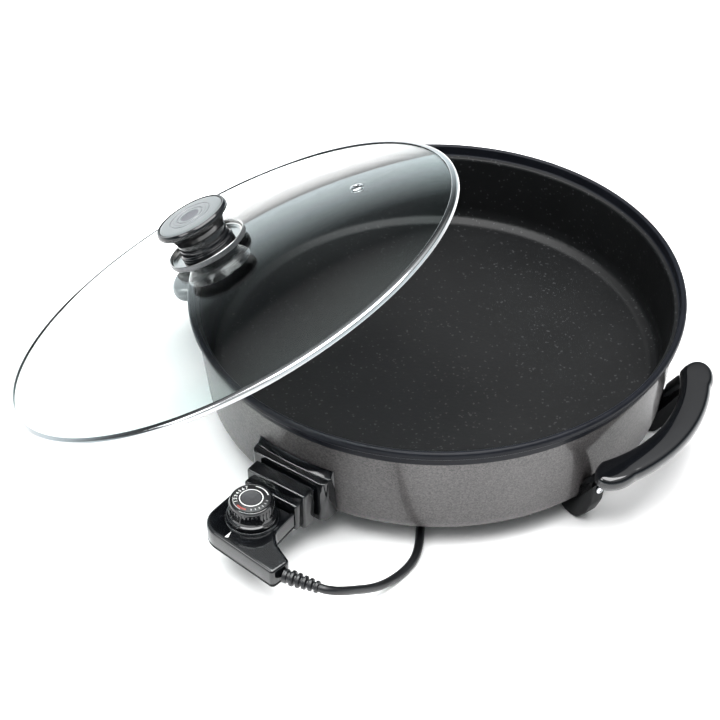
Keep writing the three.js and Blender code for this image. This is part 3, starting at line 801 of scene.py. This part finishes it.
PLUG = HOME @ Matrix.Translation(tail_start) @ faced(SIDEWAYS)
relief_rings = [(0, 50), (3.9, 50, 0.4)]
for i in range(6):
    start = 51.5 + i * 4
    swell = 4.9 + i * 0.42
    relief_rings += [
        (swell - 0.9, start, 0.3), (swell - 0.9, start + 1.2, 0.3),
        (swell, start + 1.5, 0.4), (swell + 0.1, start + 3.7, 0.4),
    ]
relief_rings += [(7.2, 75.7), (0, 75.7)]
plug_neck = turned("plug_neck", relief_rings, PLUG, [PVC], 40, 2)
plug_shell = turned("plug_shell", [
    (0, 76), (9, 76, 1), (10.6, 79, 3), (13.4, 86, 4), (13.0, 92, 3), (16.6, 95.6, 2),
    (18.2, 97, 1.2), (18.3, 111, 1.4), (17.0, 112, 0.5), (0, 112),
], PLUG, [PVC], 64, 5)
rib = slab("plug_rib", box_outline(-0.7, 0.7, -0.6, 0.6),
           [(0.25, 98.2), (0, 98.6), (0, 110), (0.25, 110.4)], SHRINK, [PVC])
plug_ribs = repeated("plug_ribs", rib, PVC, PLUG, count=30, radius=18.1)
pins = [
    turned(name, [(0, 112.4), (2.4, 112.4), (2.4, 130.4, 1.2), (0, 131.4)],
           PLUG @ shifted(0, y, 0), [BRASS], 24, 5)
    for name, y in (("plug_pin_line_bright", -9.5), ("plug_pin_neutral_bright", 9.5))
]
tie = swept("cord_tie", [
    COIL_CENTRE + round_coil(2.4) * (40.2 + 5.4 * math.cos(a))
    + Vector((0, 0, 11.9 + 10.6 * math.sin(a)))
    for a in np.linspace(0, 2 * math.pi, 33)
], 0.9, [RUBBER], 8)

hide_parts("cord_lead", "cord_coil", "cord_tail")
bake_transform(mains_lead, "thermostat", "pan", HOME @ Vector((86, -250, 30)), HOME @ Vector((60, -80, 30)))
settle(plug_neck, "pan", "pvc", "plug_relief")
settle(plug_shell, "pan", "pvc", "plug_body")
settle(plug_ribs, "pan", "pvc")
settle(pins[0], "pan", "brass", "plug_pin_line")
settle(pins[1], "pan", "brass", "plug_pin_neutral")
settle(tie, "pan", "rubber")

# ---- pan ----------------------------------------------------------------
PAN_BASE = 38
OUTSIDE, ROLLED, INSIDE, UNDER = 0, 1, 2, 3
base_edge = [
    (177 + 16 * math.sin(t), 33 - 16 * math.cos(t)) for t in np.linspace(0, QUARTER, 13)
]
pan_parts = [
    ([(0, PAN_BASE), (178, PAN_BASE, 6), (186.4, 35.2, 2.5), (187.2, 30.8, 3), (173.2, 19.2, 1.2)],
     UNDER),
    ([(172, 17, 1.5), (176, 17), *base_edge, (199.66, 99.1)], OUTSIDE),
    ([(199.72, 99.7), (200.4, 106.6, 1.2), (203.6, 107.9, 0.9), (205, 109.2, 1.4),
      (205, 113.6, 2.6), (202.6, 115.0, 2.4), (200.0, 114.4, 1.4), (199.7, 106.0, 1.6)], ROLLED),
    ([(195.7, 105.2, 1.0), (194.9, 103.6, 1.5), (189.8, 54, 40), (187.0, 47, 6), (179.5, 43, 10),
      (0, 43)], INSIDE),
]
pan_corners = [(corner, zone) for corners, zone in pan_parts for corner in corners]
pan_profile, pan_zones = [], []
for i, (corner, zone) in enumerate(pan_corners):
    last = i + 1 == len(pan_corners)
    near = [c for c, _ in pan_corners[max(i - 1, 0):i + 2]]
    kept = fillet(near, steps=5)[1 if i else 0:None if last else -1]
    pan_profile += kept
    pan_zones += [zone] * len(kept)
pan_shell = turned(
    "pan_shell", pan_profile, HOME, [HAMMERED, LIP, NONSTICK, UNDERSIDE], 240,
    zones=pan_zones[1:], sharp=50,
)
cut(pan_shell, block("window", -24, 24, -215, -160, 28.5, 37.9))
settle(pan_shell, "pan", "hammered_paint", "pan_body")

# Tubular element under the floor, its clips, pins and the probe sleeve.
TUBE_RADIUS, LOOP_RADIUS, LOOP_GAP = 3.7, 128, 0.22
ELEMENT_Z = PAN_BASE - 0.7 - TUBE_RADIUS
loop = []
for i in range(25):
    at = -QUARTER - LOOP_GAP - (i / 24) * (2 * math.pi - 2 * LOOP_GAP)
    loop.append((LOOP_RADIUS * math.cos(at), LOOP_RADIUS * math.sin(at)))
element_route = [
    (x, y, ELEMENT_Z)
    for x, y in [(-12, -177), (-12, -165), (-14, -149), *loop, (14, -149), (12, -165), (12, -177)]
]
settle(swept("element_tube", through(element_route, 6), TUBE_RADIUS, [SHEATH]),
       "pan", "sheath", "heating_element")

clip_line = [
    (-9, 7.6), (-5.6, 7.6), (-4.6, 6.6), (-4.5, 3.2), (-3.3, 0.4), (0, -0.9),
    (3.3, 0.4), (4.5, 3.2), (4.6, 6.6), (5.6, 7.6), (9, 7.6),
]
clip_points = [
    (x, y, z + thick) for x, z in clip_line for y in (-4, 4) for thick in (-0.35, 0.35)
]
clip_faces = []
for i in range(len(clip_line) - 1):
    a, b = 4 * i, 4 * (i + 1)
    clip_faces += [
        [a, a + 2, b + 2, b], [a + 1, b + 1, b + 3, a + 3],
        [a, b, b + 1, a + 1], [a + 2, a + 3, b + 3, b + 2],
    ]
clip_faces += [[0, 1, 3, 2], [40, 42, 43, 41]]
clip = build("clip", clip_points, clip_faces, SHRINK, [ZINC])
clip_place = HOME @ shifted(0, 0, ELEMENT_Z - TUBE_RADIUS) @ spun(math.pi / 7)
settle(repeated("element_clips", clip, ZINC, clip_place, count=7, radius=LOOP_RADIUS),
       "pan", "zinc")

pin_shape = [(0, 177.4), (2.6, 177.4), (2.6, 217.6, 1.5), (0, 219.4)]
for name, x in (("left", -PIN_X), ("right", PIN_X)):
    settle(turned(f"contact_pin_{name}", pin_shape, toward_front(x, PLUG_Z), [ZINC], 28, 5),
           "pan", "zinc", f"element_pin_{name}")
settle(turned("sensor_sleeve", [
    (0, 112), (3.6, 112, 1.2), (3.6, 190, 0.2), (3.1, 190), (3.1, 115.5), (0, 115.5),
], toward_front(0, PLUG_Z), [ZINC], 32), "pan", "zinc", "probe_sleeve")

# Socket shroud, straight over the pan's wall behind it.
SHROUD_SIDE, SHROUD_FRONT, SHROUD_COLUMNS = 36, -206, 56
WALL_LOW, WALL_HIGH = (193.0, 33.0), (200.5, 107.4)
wall_slope = (WALL_HIGH[0] - WALL_LOW[0]) / (WALL_HIGH[1] - WALL_LOW[1])


def shroud_skin():
    """The shroud's skin: columns across its width, each a section in height and depth."""
    section = fillet([
        (27, 0), (27, 1), (66.2, 1, 3.6), (67.0, 0.42, 2.0), (72.6, 0.0),
    ], steps=6)
    points, faces = [], []
    rows = len(section)
    for i in range(SHROUD_COLUMNS + 1):
        u = -1 + 2 * i / SHROUD_COLUMNS
        if abs(u) > 0.5:
            x = SHROUD_SIDE * math.copysign(1 - (1 - abs(u)) ** 1.6, u)
        else:
            x = SHROUD_SIDE * u * (1 - 0.5 ** 1.6) / 0.5
        ease = max(0.0, (abs(x) - 30.5) / 5.5)
        front = SHROUD_FRONT + 5.5 * (1 - math.sqrt(max(0.0, 1 - ease * ease)))
        for z, share in section:
            wall_radius = WALL_LOW[0] + (max(z, 33) - WALL_LOW[1]) * wall_slope + 0.45
            wall = -math.sqrt(max(0.0, wall_radius ** 2 - x * x))
            points.append((x, wall + (front - wall) * share, z))
    for i in range(SHROUD_COLUMNS):
        a, b = i * rows, (i + 1) * rows
        faces += [[a + k, b + k, b + k + 1, a + k + 1] for k in range(rows - 1)]
    faces.append(list(range(rows)))
    faces.append(list(range(SHROUD_COLUMNS * rows, (SHROUD_COLUMNS + 1) * rows))[::-1])
    for i in range(SHROUD_COLUMNS):
        a, b = i * rows, (i + 1) * rows
        faces.append([a + rows - 1, b + rows - 1, b, a])
    return points, faces


shroud = build("socket_guard", *shroud_skin(), HOME, [GLOSS], None, 50)
cut(shroud, block("hollow", -27.5, 27.5, -203, -180, 29.5, 60),
    *[bore(x, radius, 195, 215) for x, radius in ((-PIN_X, 3.4), (PIN_X, 3.4), (0, 3.6))])
settle(shroud, "pan", "bakelite", "socket_shroud")

# Crescent grips: an outer and an inner arc, given by centre, radius and half width.
HANDLE_TURN = math.radians(1.2)
SIDES = (("right", HANDLE_TURN), ("left", math.pi + HANDLE_TURN))
OUTER_X, OUTER_RADIUS, OUTER_Y = 86, 150, 62
INNER_X, INNER_RADIUS, INNER_Y = 94.3, 123, 66
GRIP_GROWTH, GRIP_Z, GRIP_EDGE, GRIP_CROWN = 3.0, 65.4, 4.6, 14
GRIP_ROWS, GRIP_ACROSS = 96, 20


def bezier(a, b, c, d, steps):
    t = np.linspace(0, 1, steps)[:, None]
    a, b, c, d = (np.array(p, float) for p in (a, b, c, d))
    return a * (1 - t) ** 3 + 3 * b * t * (1 - t) ** 2 + 3 * c * t * t * (1 - t) + d * t ** 3


def arc(x, radius, start, end):
    """Points on a grip's arc, without the last."""
    return [(x + radius * math.cos(t), radius * math.sin(t)) for t in np.linspace(start, end, 81)[:-1]]


def grip_points():
    """Crescent grip as a grid from tip to tip, with its outline."""
    outer_end, inner_end = math.asin(OUTER_Y / OUTER_RADIUS), math.asin(INNER_Y / INNER_RADIUS)
    tip = bezier(
        (OUTER_X + OUTER_RADIUS * math.cos(outer_end), OUTER_Y), (219, 87), (196, 90),
        (INNER_X + INNER_RADIUS * math.cos(inner_end), INNER_Y), 41,
    )
    outline = arc(OUTER_X, OUTER_RADIUS, -outer_end, outer_end)
    outline += [tuple(p) for p in tip[:-1]]
    outline += arc(INNER_X, INNER_RADIUS, inner_end, -inner_end)
    outline += [(x, -y) for x, y in tip[::-1][:-1]]
    outline = inset_of(outline, -GRIP_GROWTH)
    ring = np.vstack([outline, outline[:1]])
    run = np.concatenate([[0], np.cumsum(np.linalg.norm(np.diff(ring, axis=0), axis=1))])
    total = run[-1]
    top, bottom = run[int(np.argmax(outline[:, 1]))], run[int(np.argmin(outline[:, 1]))]
    outer_span = (top - bottom) % total
    inner_span = total - outer_span

    def at_run(s):
        return np.array([np.interp(s % total, run, ring[:, axis]) for axis in (0, 1)])

    grid = np.zeros((GRIP_ROWS + 1, GRIP_ACROSS + 1, 2))
    for i in range(GRIP_ROWS + 1):
        share = 0.55 * (1 - math.cos(math.pi * i / GRIP_ROWS)) / 2 + 0.45 * i / GRIP_ROWS
        share = 1.0 if i == GRIP_ROWS else share
        a = at_run(bottom + outer_span * share)
        b = at_run(bottom - inner_span * share)
        for k in range(GRIP_ACROSS + 1):
            w = (1 - math.cos(math.pi * k / GRIP_ACROSS)) / 2
            grid[i, k] = a * (1 - w) + b * w
    return grid, ring


def grip(name, turn_by):
    """A grip whose height falls away round its edge."""
    grid, ring = grip_points()
    steps = np.linspace(0, 1, 4, endpoint=False)
    fine = np.concatenate([ring[:-1] * (1 - s) + ring[1:] * s for s in steps])
    gap = np.sqrt(((grid.reshape(-1, 2)[:, None, :] - fine[None]) ** 2).sum(-1)).min(1)
    gap = gap.reshape(grid.shape[:2])
    gap[0, :] = gap[-1, :] = gap[:, 0] = gap[:, -1] = 0
    rounding = np.sqrt(np.clip(1 - (1 - np.clip(gap / GRIP_EDGE, 0, 1)) ** 2, 0, 1))
    crown = np.sin(np.clip(gap / GRIP_CROWN, 0, 1) * math.pi / 2)
    points = [
        (*spot, height)
        for z in (GRIP_Z + 5.9 * rounding + 0.7 * crown, GRIP_Z - 6.2 * rounding - 1.1 * crown)
        for spot, height in zip(grid.reshape(-1, 2), z.reshape(-1))
    ]
    faces = []
    wide = GRIP_ACROSS + 1
    size = (GRIP_ROWS + 1) * wide
    for i in range(GRIP_ROWS):
        for k in range(GRIP_ACROSS):
            a, b = i * wide + k, (i + 1) * wide + k
            faces.append([a, b, b + 1, a + 1])
            faces.append([size + a, size + a + 1, size + b + 1, size + b])
    return build(name, points, faces, HOME @ spun(turn_by), [GLOSS], None, 80)


for side, turn_by in SIDES:
    settle(grip(f"crescent_grip_{side}", turn_by), "pan", "bakelite", f"grip_{side}")

# Legs under the grips, in the upright plane (distance from the axis, height).
leg_hook = [
    (177 + 16.45 * math.sin(t), 33 - 16.45 * math.cos(t)) for t in np.linspace(1.35, 0.05, 9)
]
leg_outline = fillet([
    (204.0, 57.6, 3), (195.6, 46.0, 8), (193.9, 36), (193.35, 31), *leg_hook,
    (171.4, 16.5, 1.0), (170.2, 8.2, 3), (173.6, 2.2, 5), (179, 0.05, 5), (185.5, 0.05, 6),
    (192.5, 2.0, 9), (200.5, 12.0, 16), (206.5, 26, 20), (208.4, 40, 10), (208.5, 50, 2),
    (209.2, 54, 0.6), (214.4, 54, 1.2), (214.4, 57.6, 0.6),
], closed=True, steps=5)
LEG_LEVELS = [(1.4, -6.6), (0.45, -6.2), (0.05, -5.2), (0.05, 5.2), (0.45, 6.2), (1.4, 6.6)]
LEG_ANGLE = math.radians(19)
wall_screws, grip_screws = [], []
for side, base in SIDES:
    front = -1 if side == "right" else 1
    for end, sign in (("front", front), ("rear", -front)):
        spin = HOME @ spun(base + sign * LEG_ANGLE)
        leg = slab(f"bent_leg_{side}_{end}", leg_outline, LEG_LEVELS, spin @ spun(QUARTER, "X"),
                   [SATIN], 50)
        settle(leg, "pan", "bakelite", f"leg_{side}_{end}")
        wall_screws.append(spin @ shifted(208.9, 0, 42.5) @ spun(QUARTER, "Y"))
        grip_screws.append(spin @ shifted(211.9, 0, 53.6) @ spun(math.pi, "X"))


def screws(name, shape, spots, body, *nodes):
    """Cross-recessed screws at spots; shape is head radius, head height, shaft radius, depth."""
    head, height, shaft, depth = shape
    screw = turned("screw", [
        (0, -depth), (shaft, -depth, 0.2), (shaft, 0), (head, 0, 0.2),
        (head * 0.94, height * 0.7, 0.5), (0, height, 2),
    ], SHRINK, [SCREW_STEEL], 28)
    long, wide = head * 0.55, head * 0.12
    cut(screw, *[
        slab("slot", box_outline(-a, a, -b, b), [(0.02, height - 0.9), (0, height + 1)],
             SHRINK, [SCREW_STEEL])
        for a, b in ((long, wide), (wide, long))
    ])
    settle(repeated(name, screw, SCREW_STEEL, spots=spots), body, "bright_steel", *nodes)


CORNERS = ("right_front", "right_rear", "left_front", "left_rear")
screws("leg_wall_screws", (3.6, 2.0, 1.5, 8), wall_screws, "pan",
       *[f"leg_screw_{c}" for c in CORNERS])
screws("grip_fixing_screws", (2.3, 1.6, 1.2, 8), grip_screws, "pan",
       *[f"grip_screw_{c}" for c in CORNERS])
screws("socket_fixing_screws", (3.2, 1.8, 1.6, 4),
       [HOME @ shifted(x, -199, 26.65) @ spun(math.pi, "X") for x in (-32, 32)],
       "pan", "socket_screw_left", "socket_screw_right")
pad = turned("pad", [(0, 13), (3.6, 13, 0.8), (4, 16.4, 0.4), (0, 16.4)], SHRINK, [RUBBER], 28, 3)
pad_spots = [HOME @ spun(math.radians(a)) @ shifted(178.5, 0, 0) for a in (-32, 35, 148, 215)]
settle(repeated("base_pads", pad, RUBBER, spots=pad_spots),
       "pan", "rubber", *[f"base_pad_{i}" for i in (1, 2, 3, 4)])

# ---- lid ----------------------------------------------------------------
DOME_RADIUS, GLASS_RADIUS, GLASS_THICKNESS, GLASS_EDGE_Z = 630.0, 197.0, 3.0, 6.4


def dome(radius):
    """Height of the glass's upper face."""
    sphere = math.sqrt(DOME_RADIUS ** 2 - radius ** 2)
    return GLASS_EDGE_Z + sphere - math.sqrt(DOME_RADIUS ** 2 - GLASS_RADIUS ** 2)


reaches = [4.2, *np.linspace(12, 190, 24), 194, 196.2]
glass = turned("glass_dome", [
    *((r, dome(r)) for r in reaches),
    (196.8, dome(196.2) - 0.6), (197, dome(197) - 1.5), (196.8, dome(196.2) - 2.4),
    *((r, dome(r) - GLASS_THICKNESS) for r in reaches[::-1]),
], LID, [GLASS], 192, closed=True, sharp=60)
VENT_RADIUS, VENT_TURN = 124.0, math.radians(49)
VENT = (
    LID @ spun(VENT_TURN) @ shifted(VENT_RADIUS, 0, dome(VENT_RADIUS))
    @ spun(math.asin(VENT_RADIUS / DOME_RADIUS), "Y")
)
cut(glass, turned("vent_hole", [(0, -12), (3.6, -12), (3.6, 8), (0, 8)], VENT, [GLASS], 40))
settle(glass, "lid", "glass", "lid_glass")

settle(turned("steel_rim", [
    (198.3, 2.4, 0.6), (199, 3.1, 0.7), (199, 6.0, 1.0), (198.0, 7.25, 1.0), (194.7, 8.3, 0.5),
    (194.3, 7.7, 0.2), (197.3, 6.95, 0.3), (197.6, 6.4, 0.3), (197.6, 3.1, 0.2),
    (194.2, 3.1, 0.3), (194.2, 2.4, 0.3),
], LID, [RIM_STEEL], 240, closed=True, sharp=55), "lid", "bright_steel", "lid_rim")

settle(turned("vent_ring", [
    (2, -4.2, 0.2), (5.4, -4.2, 0.3), (5.4, -3.5, 0.3), (3.1, -3.5), (3.1, 0.5),
    (5.4, 0.5, 0.3), (5.2, 1.1, 0.5), (3.0, 1.4, 1.0), (2, 0.9, 0.4),
], VENT, [RIM_STEEL], 48, closed=True), "lid", "bright_steel", "vent_eyelet")

CROWN = dome(0)
FOOT = CROWN + 2.8
UNDER_GLASS = CROWN - GLASS_THICKNESS
settle(turned("seal_washer", raised(CROWN, [
    (4.2, 0.3), (20, 0.3, 0.3), (20, 1.1, 0.3), (4.2, 1.1),
]), LID, [RUBBER], 64, 3, True), "lid", "rubber", "knob_seal")
settle(turned("guard_disc", raised(CROWN, [
    (4.2, 1.4), (27, 1.4, 6), (32.4, 1.7, 1.2), (33, 2.6, 0.5), (33, 6.2, 0.4),
    (32.3, 6.8, 0.4), (31.5, 6.2, 0.5), (31.2, 3.2, 2.0), (28.6, 2.4, 2), (4.2, 2.4),
]), LID, [GUARD_STEEL], 128, 5, True), "lid", "bright_steel", "knob_guard")
settle(turned("knob_grip", raised(FOOT, [
    (0, 18), (2.4, 18), (2.4, 0), (22.4, 0, 0.6), (22.6, 3.2, 0.9), (20.9, 4.4, 0.8),
    (20.7, 7.6, 0.5), (20.1, 8.1, 0.4), (20.1, 9.0, 0.4), (20.6, 9.5, 0.5), (20.7, 14.5, 6),
    (24.0, 20.6, 8), (28.6, 24.1, 2), (30.4, 25.4, 1.4), (30.6, 28.0, 1.6), (29.2, 29.8, 0.9),
    (27.8, 29.6, 0.4), (27.4, 28.6, 0.3), (0, 28.6),
]), LID, [KNOB_BLACK], 128, 5), "lid", "bakelite", "knob_body")
settle(turned("knob_inlay", raised(FOOT, [
    (0, 28.9), (27.1, 28.9), (27.1, 29.5, 0.3), (25.2, 30.0, 3), (17.6, 30.3, 1),
    (17.3, 30.0, 0.3), (16.9, 30.0, 0.3), (16.6, 30.35, 0.6), (11.6, 30.5, 1),
    (11.3, 30.1, 0.3), (10.8, 30.1, 0.3), (10.5, 30.5, 0.6), (8.4, 30.55, 0.5),
    (7.8, 30.2, 0.4), (0, 30.2),
]), LID, [CAP]), "lid", "cap_silver", "knob_cap")
settle(turned("inner_collar", raised(UNDER_GLASS, [
    (2.6, -0.4), (20.2, -0.8, 1.5), (22.4, -8, 8), (27.4, -14.4, 0.6), (25.4, -15, 0.6),
    (19.5, -8, 6), (17.5, -4.4, 1.5), (2.6, -4.4),
]), LID, [KNOB_BLACK], 96, 5, True), "lid", "bakelite", "knob_collar")
screws("knob_fixing_screw", (5, 2.6, 2, 25),
       [LID @ shifted(0, 0, UNDER_GLASS - 4.8) @ spun(math.pi, "X")], "lid", "knob_screw")


# ---- thermostat ---------------------------------------------------------
def rounded_levels(bottom, top, low_edge, high_edge, steps=5):
    """Levels of a slab whose lower and upper edges are rounded."""
    bends = [(k / steps) * math.pi / 2 for k in range(steps + 1)]
    return [
        (low_edge * 1.4, bottom),
        *((low_edge * (1 - math.sin(t)), bottom + low_edge * (1 - math.cos(t))) for t in bends),
        *((high_edge * (1 - math.cos(t)), top - high_edge * (1 - math.sin(t))) for t in bends),
        (high_edge * 1.25, top),
    ]


def plate(name, x0, x1, y0, y1, radius, levels):
    outline = fillet(box_outline(x0, x1, y0, y1, radius), closed=True, steps=5)
    return slab(name, outline, levels, HOME, [GLOSS])


flange = joined(
    plate("front_plate", -28, 28, -221.6, -208.4, 1.6, rounded_levels(28, 62, 1.0, 1.4)),
    plate("neck", -26, 25, -228.3, -218.6, 2.2, rounded_levels(30, 55, 1.0, 1.8)),
)
cut(flange, *[
    bore(x, radius, 200, reach) for x, radius, reach in ((-PIN_X, 4, 225), (PIN_X, 4, 225), (0, 3.1, 226))
])
settle(flange, "thermostat", "bakelite", "thermostat_flange")

settle(turned("sensor_probe", [(0, 122), (2.8, 124.4, 2), (2.8, 225.5), (0, 225.5)],
              toward_front(0, PLUG_Z), [PROBE_STEEL], 32, 5),
       "thermostat", "bright_steel", "thermostat_probe")
for name, x in (("left", -PIN_X), ("right", PIN_X)):
    tube = turned(f"contact_tube_{name}", [(2.95, 209), (3.65, 209), (3.65, 224.5), (2.95, 224.5)],
                  toward_front(x, PLUG_Z), [BRASS], 32, closed=True)
    settle(tube, "thermostat", "brass", f"contact_{name}")

housing_outline = fillet([
    (-26, -228.85, 1.5), (-29.5, -243, 14), (-30.8, -280.6, 23), (49, -290, 3.5),
    (52, -272, 4.5), (33.5, -263, 9), (25, -255, 9), (24, -228.85, 1.5),
], closed=True, steps=8)
cover = slab("cover", housing_outline, rounded_levels(36.1, 50, 0.3, 2.6, 6), HOME, [GLOSS], 50)
bezel = turned("bezel", [
    (0, 49), (21.5, 49), (21.5, 50.4, 0.6), (20.9, 51.4, 0.5), (19.2, 51.4, 0.5),
    (18.8, 50.9, 0.3), (0, 50.9),
], DIAL, [GLOSS])
cut(cover, block("hollow", -23, 21, -276, -233, 36, 47.5))
settle(joined(cover, bezel), "thermostat", "bakelite", "thermostat_cover")
settle(slab("base_shell", housing_outline, rounded_levels(33, 35.75, 1.4, 0.3), HOME, [SATIN], 50),
       "thermostat", "bakelite", "thermostat_base")
screws("housing_fixing_screws", (2.8, 1.4, 1.4, 7), [
    HOME @ shifted(x, y, 32.65) @ spun(math.pi, "X") for x, y in ((-22, -262), (16, -242), (42, -281))
], "thermostat", "housing_screw_1", "housing_screw_2", "housing_screw_3")

arrow = slab("setting_arrow", [(-3.7, -280.9), (-0.9, -279.5), (-3.0, -273.2)],
             [(0, 49.98), (0.15, 50.12)], HOME, [INK])
settle(arrow, "thermostat", "dial_print")

relief_profile = [(0, 0), (5.6, 0), (5.6, 3, 0.4), (4.6, 3.6, 0.3)]
for i in range(5):
    start = 4.4 + i * 5
    swell = 6.3 - i * 0.35
    relief_profile += [
        (swell - 1.7, start, 0.3), (swell - 1.7, start + 1.4, 0.4),
        (swell, start + 1.9, 0.5), (swell - 0.1, start + 4.2, 0.5),
    ]
relief_profile += [(4.0, 28.9, 0.6), (0, 29)]
RELIEF = HOME @ Matrix.Translation(RELIEF_START) @ faced(RELIEF_WAY)
settle(turned("ribbed_relief", relief_profile, RELIEF, [PVC], 48, 3),
       "thermostat", "pvc", "strain_relief")

# ---- dial ---------------------------------------------------------------
settle(turned("dial_body", [
    (0, 66.5), (3.4, 66.5), (3.4, 51.9), (19.4, 51.9, 0.3), (20, 52.8, 0.5), (19.6, 54.8, 0.6),
    (17.9, 55.8, 0.6), (17.4, 57.4, 1.0), (17.3, 66.6, 0.6), (16.6, 68.4, 1.2),
    (15.4, 69.1, 0.4), (15.1, 68.5, 0.2), (0, 68.4),
], DIAL, [GLOSS], 96, 5), "dial", "bakelite", "dial_knob")
settle(turned("dial_plate", [
    (0, 68.75), (14.9, 68.75), (14.9, 69.4, 0.3), (9.8, 69.6, 0.5), (9.3, 70.0, 0.3),
    (8.6, 70.0, 0.3), (8.3, 69.7, 0.4), (0, 69.7),
], DIAL, [PRINT]), "dial", "dial_print", "dial_face")
flute_outline = fillet([
    (-0.25, -0.75, 0.2), (0.45, -0.75, 0.4), (0.45, 0.75, 0.4), (-0.25, 0.75, 0.2),
], closed=True, steps=2)
flute = slab("flute", flute_outline, [(0.2, 58.2), (0, 58.8), (0, 65.4), (0.2, 66.0)],
             SHRINK, [GLOSS])
settle(repeated("dial_flutes", flute, GLOSS, DIAL, count=36, radius=17.3), "dial", "bakelite")

NUMBERS, NUMBER_RADIUS, NUMBER_Z = 7, 12.1, 69.58
FIRST_NUMBER, NUMBER_STEP = 232, 14.5


def number(text, size, place):
    """One printed number as a thin flat mesh."""
    curve = bpy.data.curves.new("number", "FONT")
    curve.body = text
    curve.size = size
    curve.align_x = curve.align_y = "CENTER"
    curve.extrude = 0.04
    curve.offset = 0.05
    holder = placed("number", curve)
    mesh = evaluated(holder)
    bpy.data.objects.remove(holder)
    mesh.transform(place)
    mesh.materials.clear()
    mesh.materials.append(INK)
    return placed("number", mesh)


numbers = []
for i in range(NUMBERS):
    at = math.radians(FIRST_NUMBER - i * NUMBER_STEP)
    spot = shifted(NUMBER_RADIUS * math.cos(at), NUMBER_RADIUS * math.sin(at), NUMBER_Z)
    numbers.append(number(str(i + 1), 3.8, DIAL @ spot @ spun(at - QUARTER)))
dial_numbers = joined(*numbers)
dial_numbers.name = dial_numbers.data.name = "dial_numbers"
settle(dial_numbers, "dial", "dial_print")

# ---- carried-over CAD nodes keep their shape and take a full finish ------
slots = {s["node"]: s["material_slot"] for s in frame["record"]["subparts"]}
for name, node in frame["nodes"].items():
    node.data.materials.clear()
    node.data.materials.append(FINISH[slots[name]])

# ---- floor and light ----------------------------------------------------
floor_mesh = bpy.data.meshes.new("floor")
floor_mesh.from_pydata([(-6, -6, 0), (6, -6, 0), (6, 6, 0), (-6, 6, 0)], [], [[0, 1, 2, 3]])
floor = placed("floor", floor_mesh)
sheet = Paint("pale_floor")
floor_mesh.materials.append(sheet.finish(
    Base_Color=sheet.mix(sheet.noise(3, 2), (0.90, 0.90, 0.90), (0.93, 0.93, 0.93)), Roughness=0.75,
))
floor.location.z = -0.0002

world = bpy.data.worlds.new("studio")
bpy.context.scene.world = world
world.use_nodes = True
sky = world.node_tree.nodes["Background"]
sky.inputs["Strength"].default_value = 1.7
studio = Graph(world.node_tree)
climb = studio.split(studio.node("ShaderNodeTexCoord", out="Generated"))[2]
fade = studio.node("ShaderNodeValToRGB", {0: climb}, "Color")
studio.feed(sky.inputs["Color"], fade)
ramp = fade.socket.node.color_ramp
SKY_STOPS = (
    (0.0, (0.88, 0.97, 1.0)), (1.0, (0.026, 0.027, 0.029)), (0.10, (0.62, 0.69, 0.71)),
    (0.26, (0.09, 0.10, 0.104)), (0.40, (0.008, 0.009, 0.010)),
)
for element, (height, shade) in zip(
    [*ramp.elements, *(ramp.elements.new(0.5) for _ in range(3))], SKY_STOPS,
):
    element.position = height
    element.color = (*shade, 1)


def softbox(name, spot, size, power, aim):
    """A rectangular area light that faces a point."""
    data = bpy.data.lights.new(name, "AREA")
    data.shape = "RECTANGLE"
    data.size, data.size_y = size
    data.energy = power
    lamp = placed(name, data)
    lamp.location = spot
    lamp.rotation_euler = (Vector(aim) - Vector(spot)).to_track_quat("-Z", "Y").to_euler()


softbox("overhead", (0.0, -0.2, 3.4), (3.6, 3.6), 270, (0, -0.199, 0))
softbox("key", (-1.45, -2.15, 2.0), (1.5, 1.0), 30, (0, 0, 0.05))

bpy.context.scene.view_settings.view_transform = "Standard"
bpy.context.scene.view_settings.look = "Medium High Contrast"
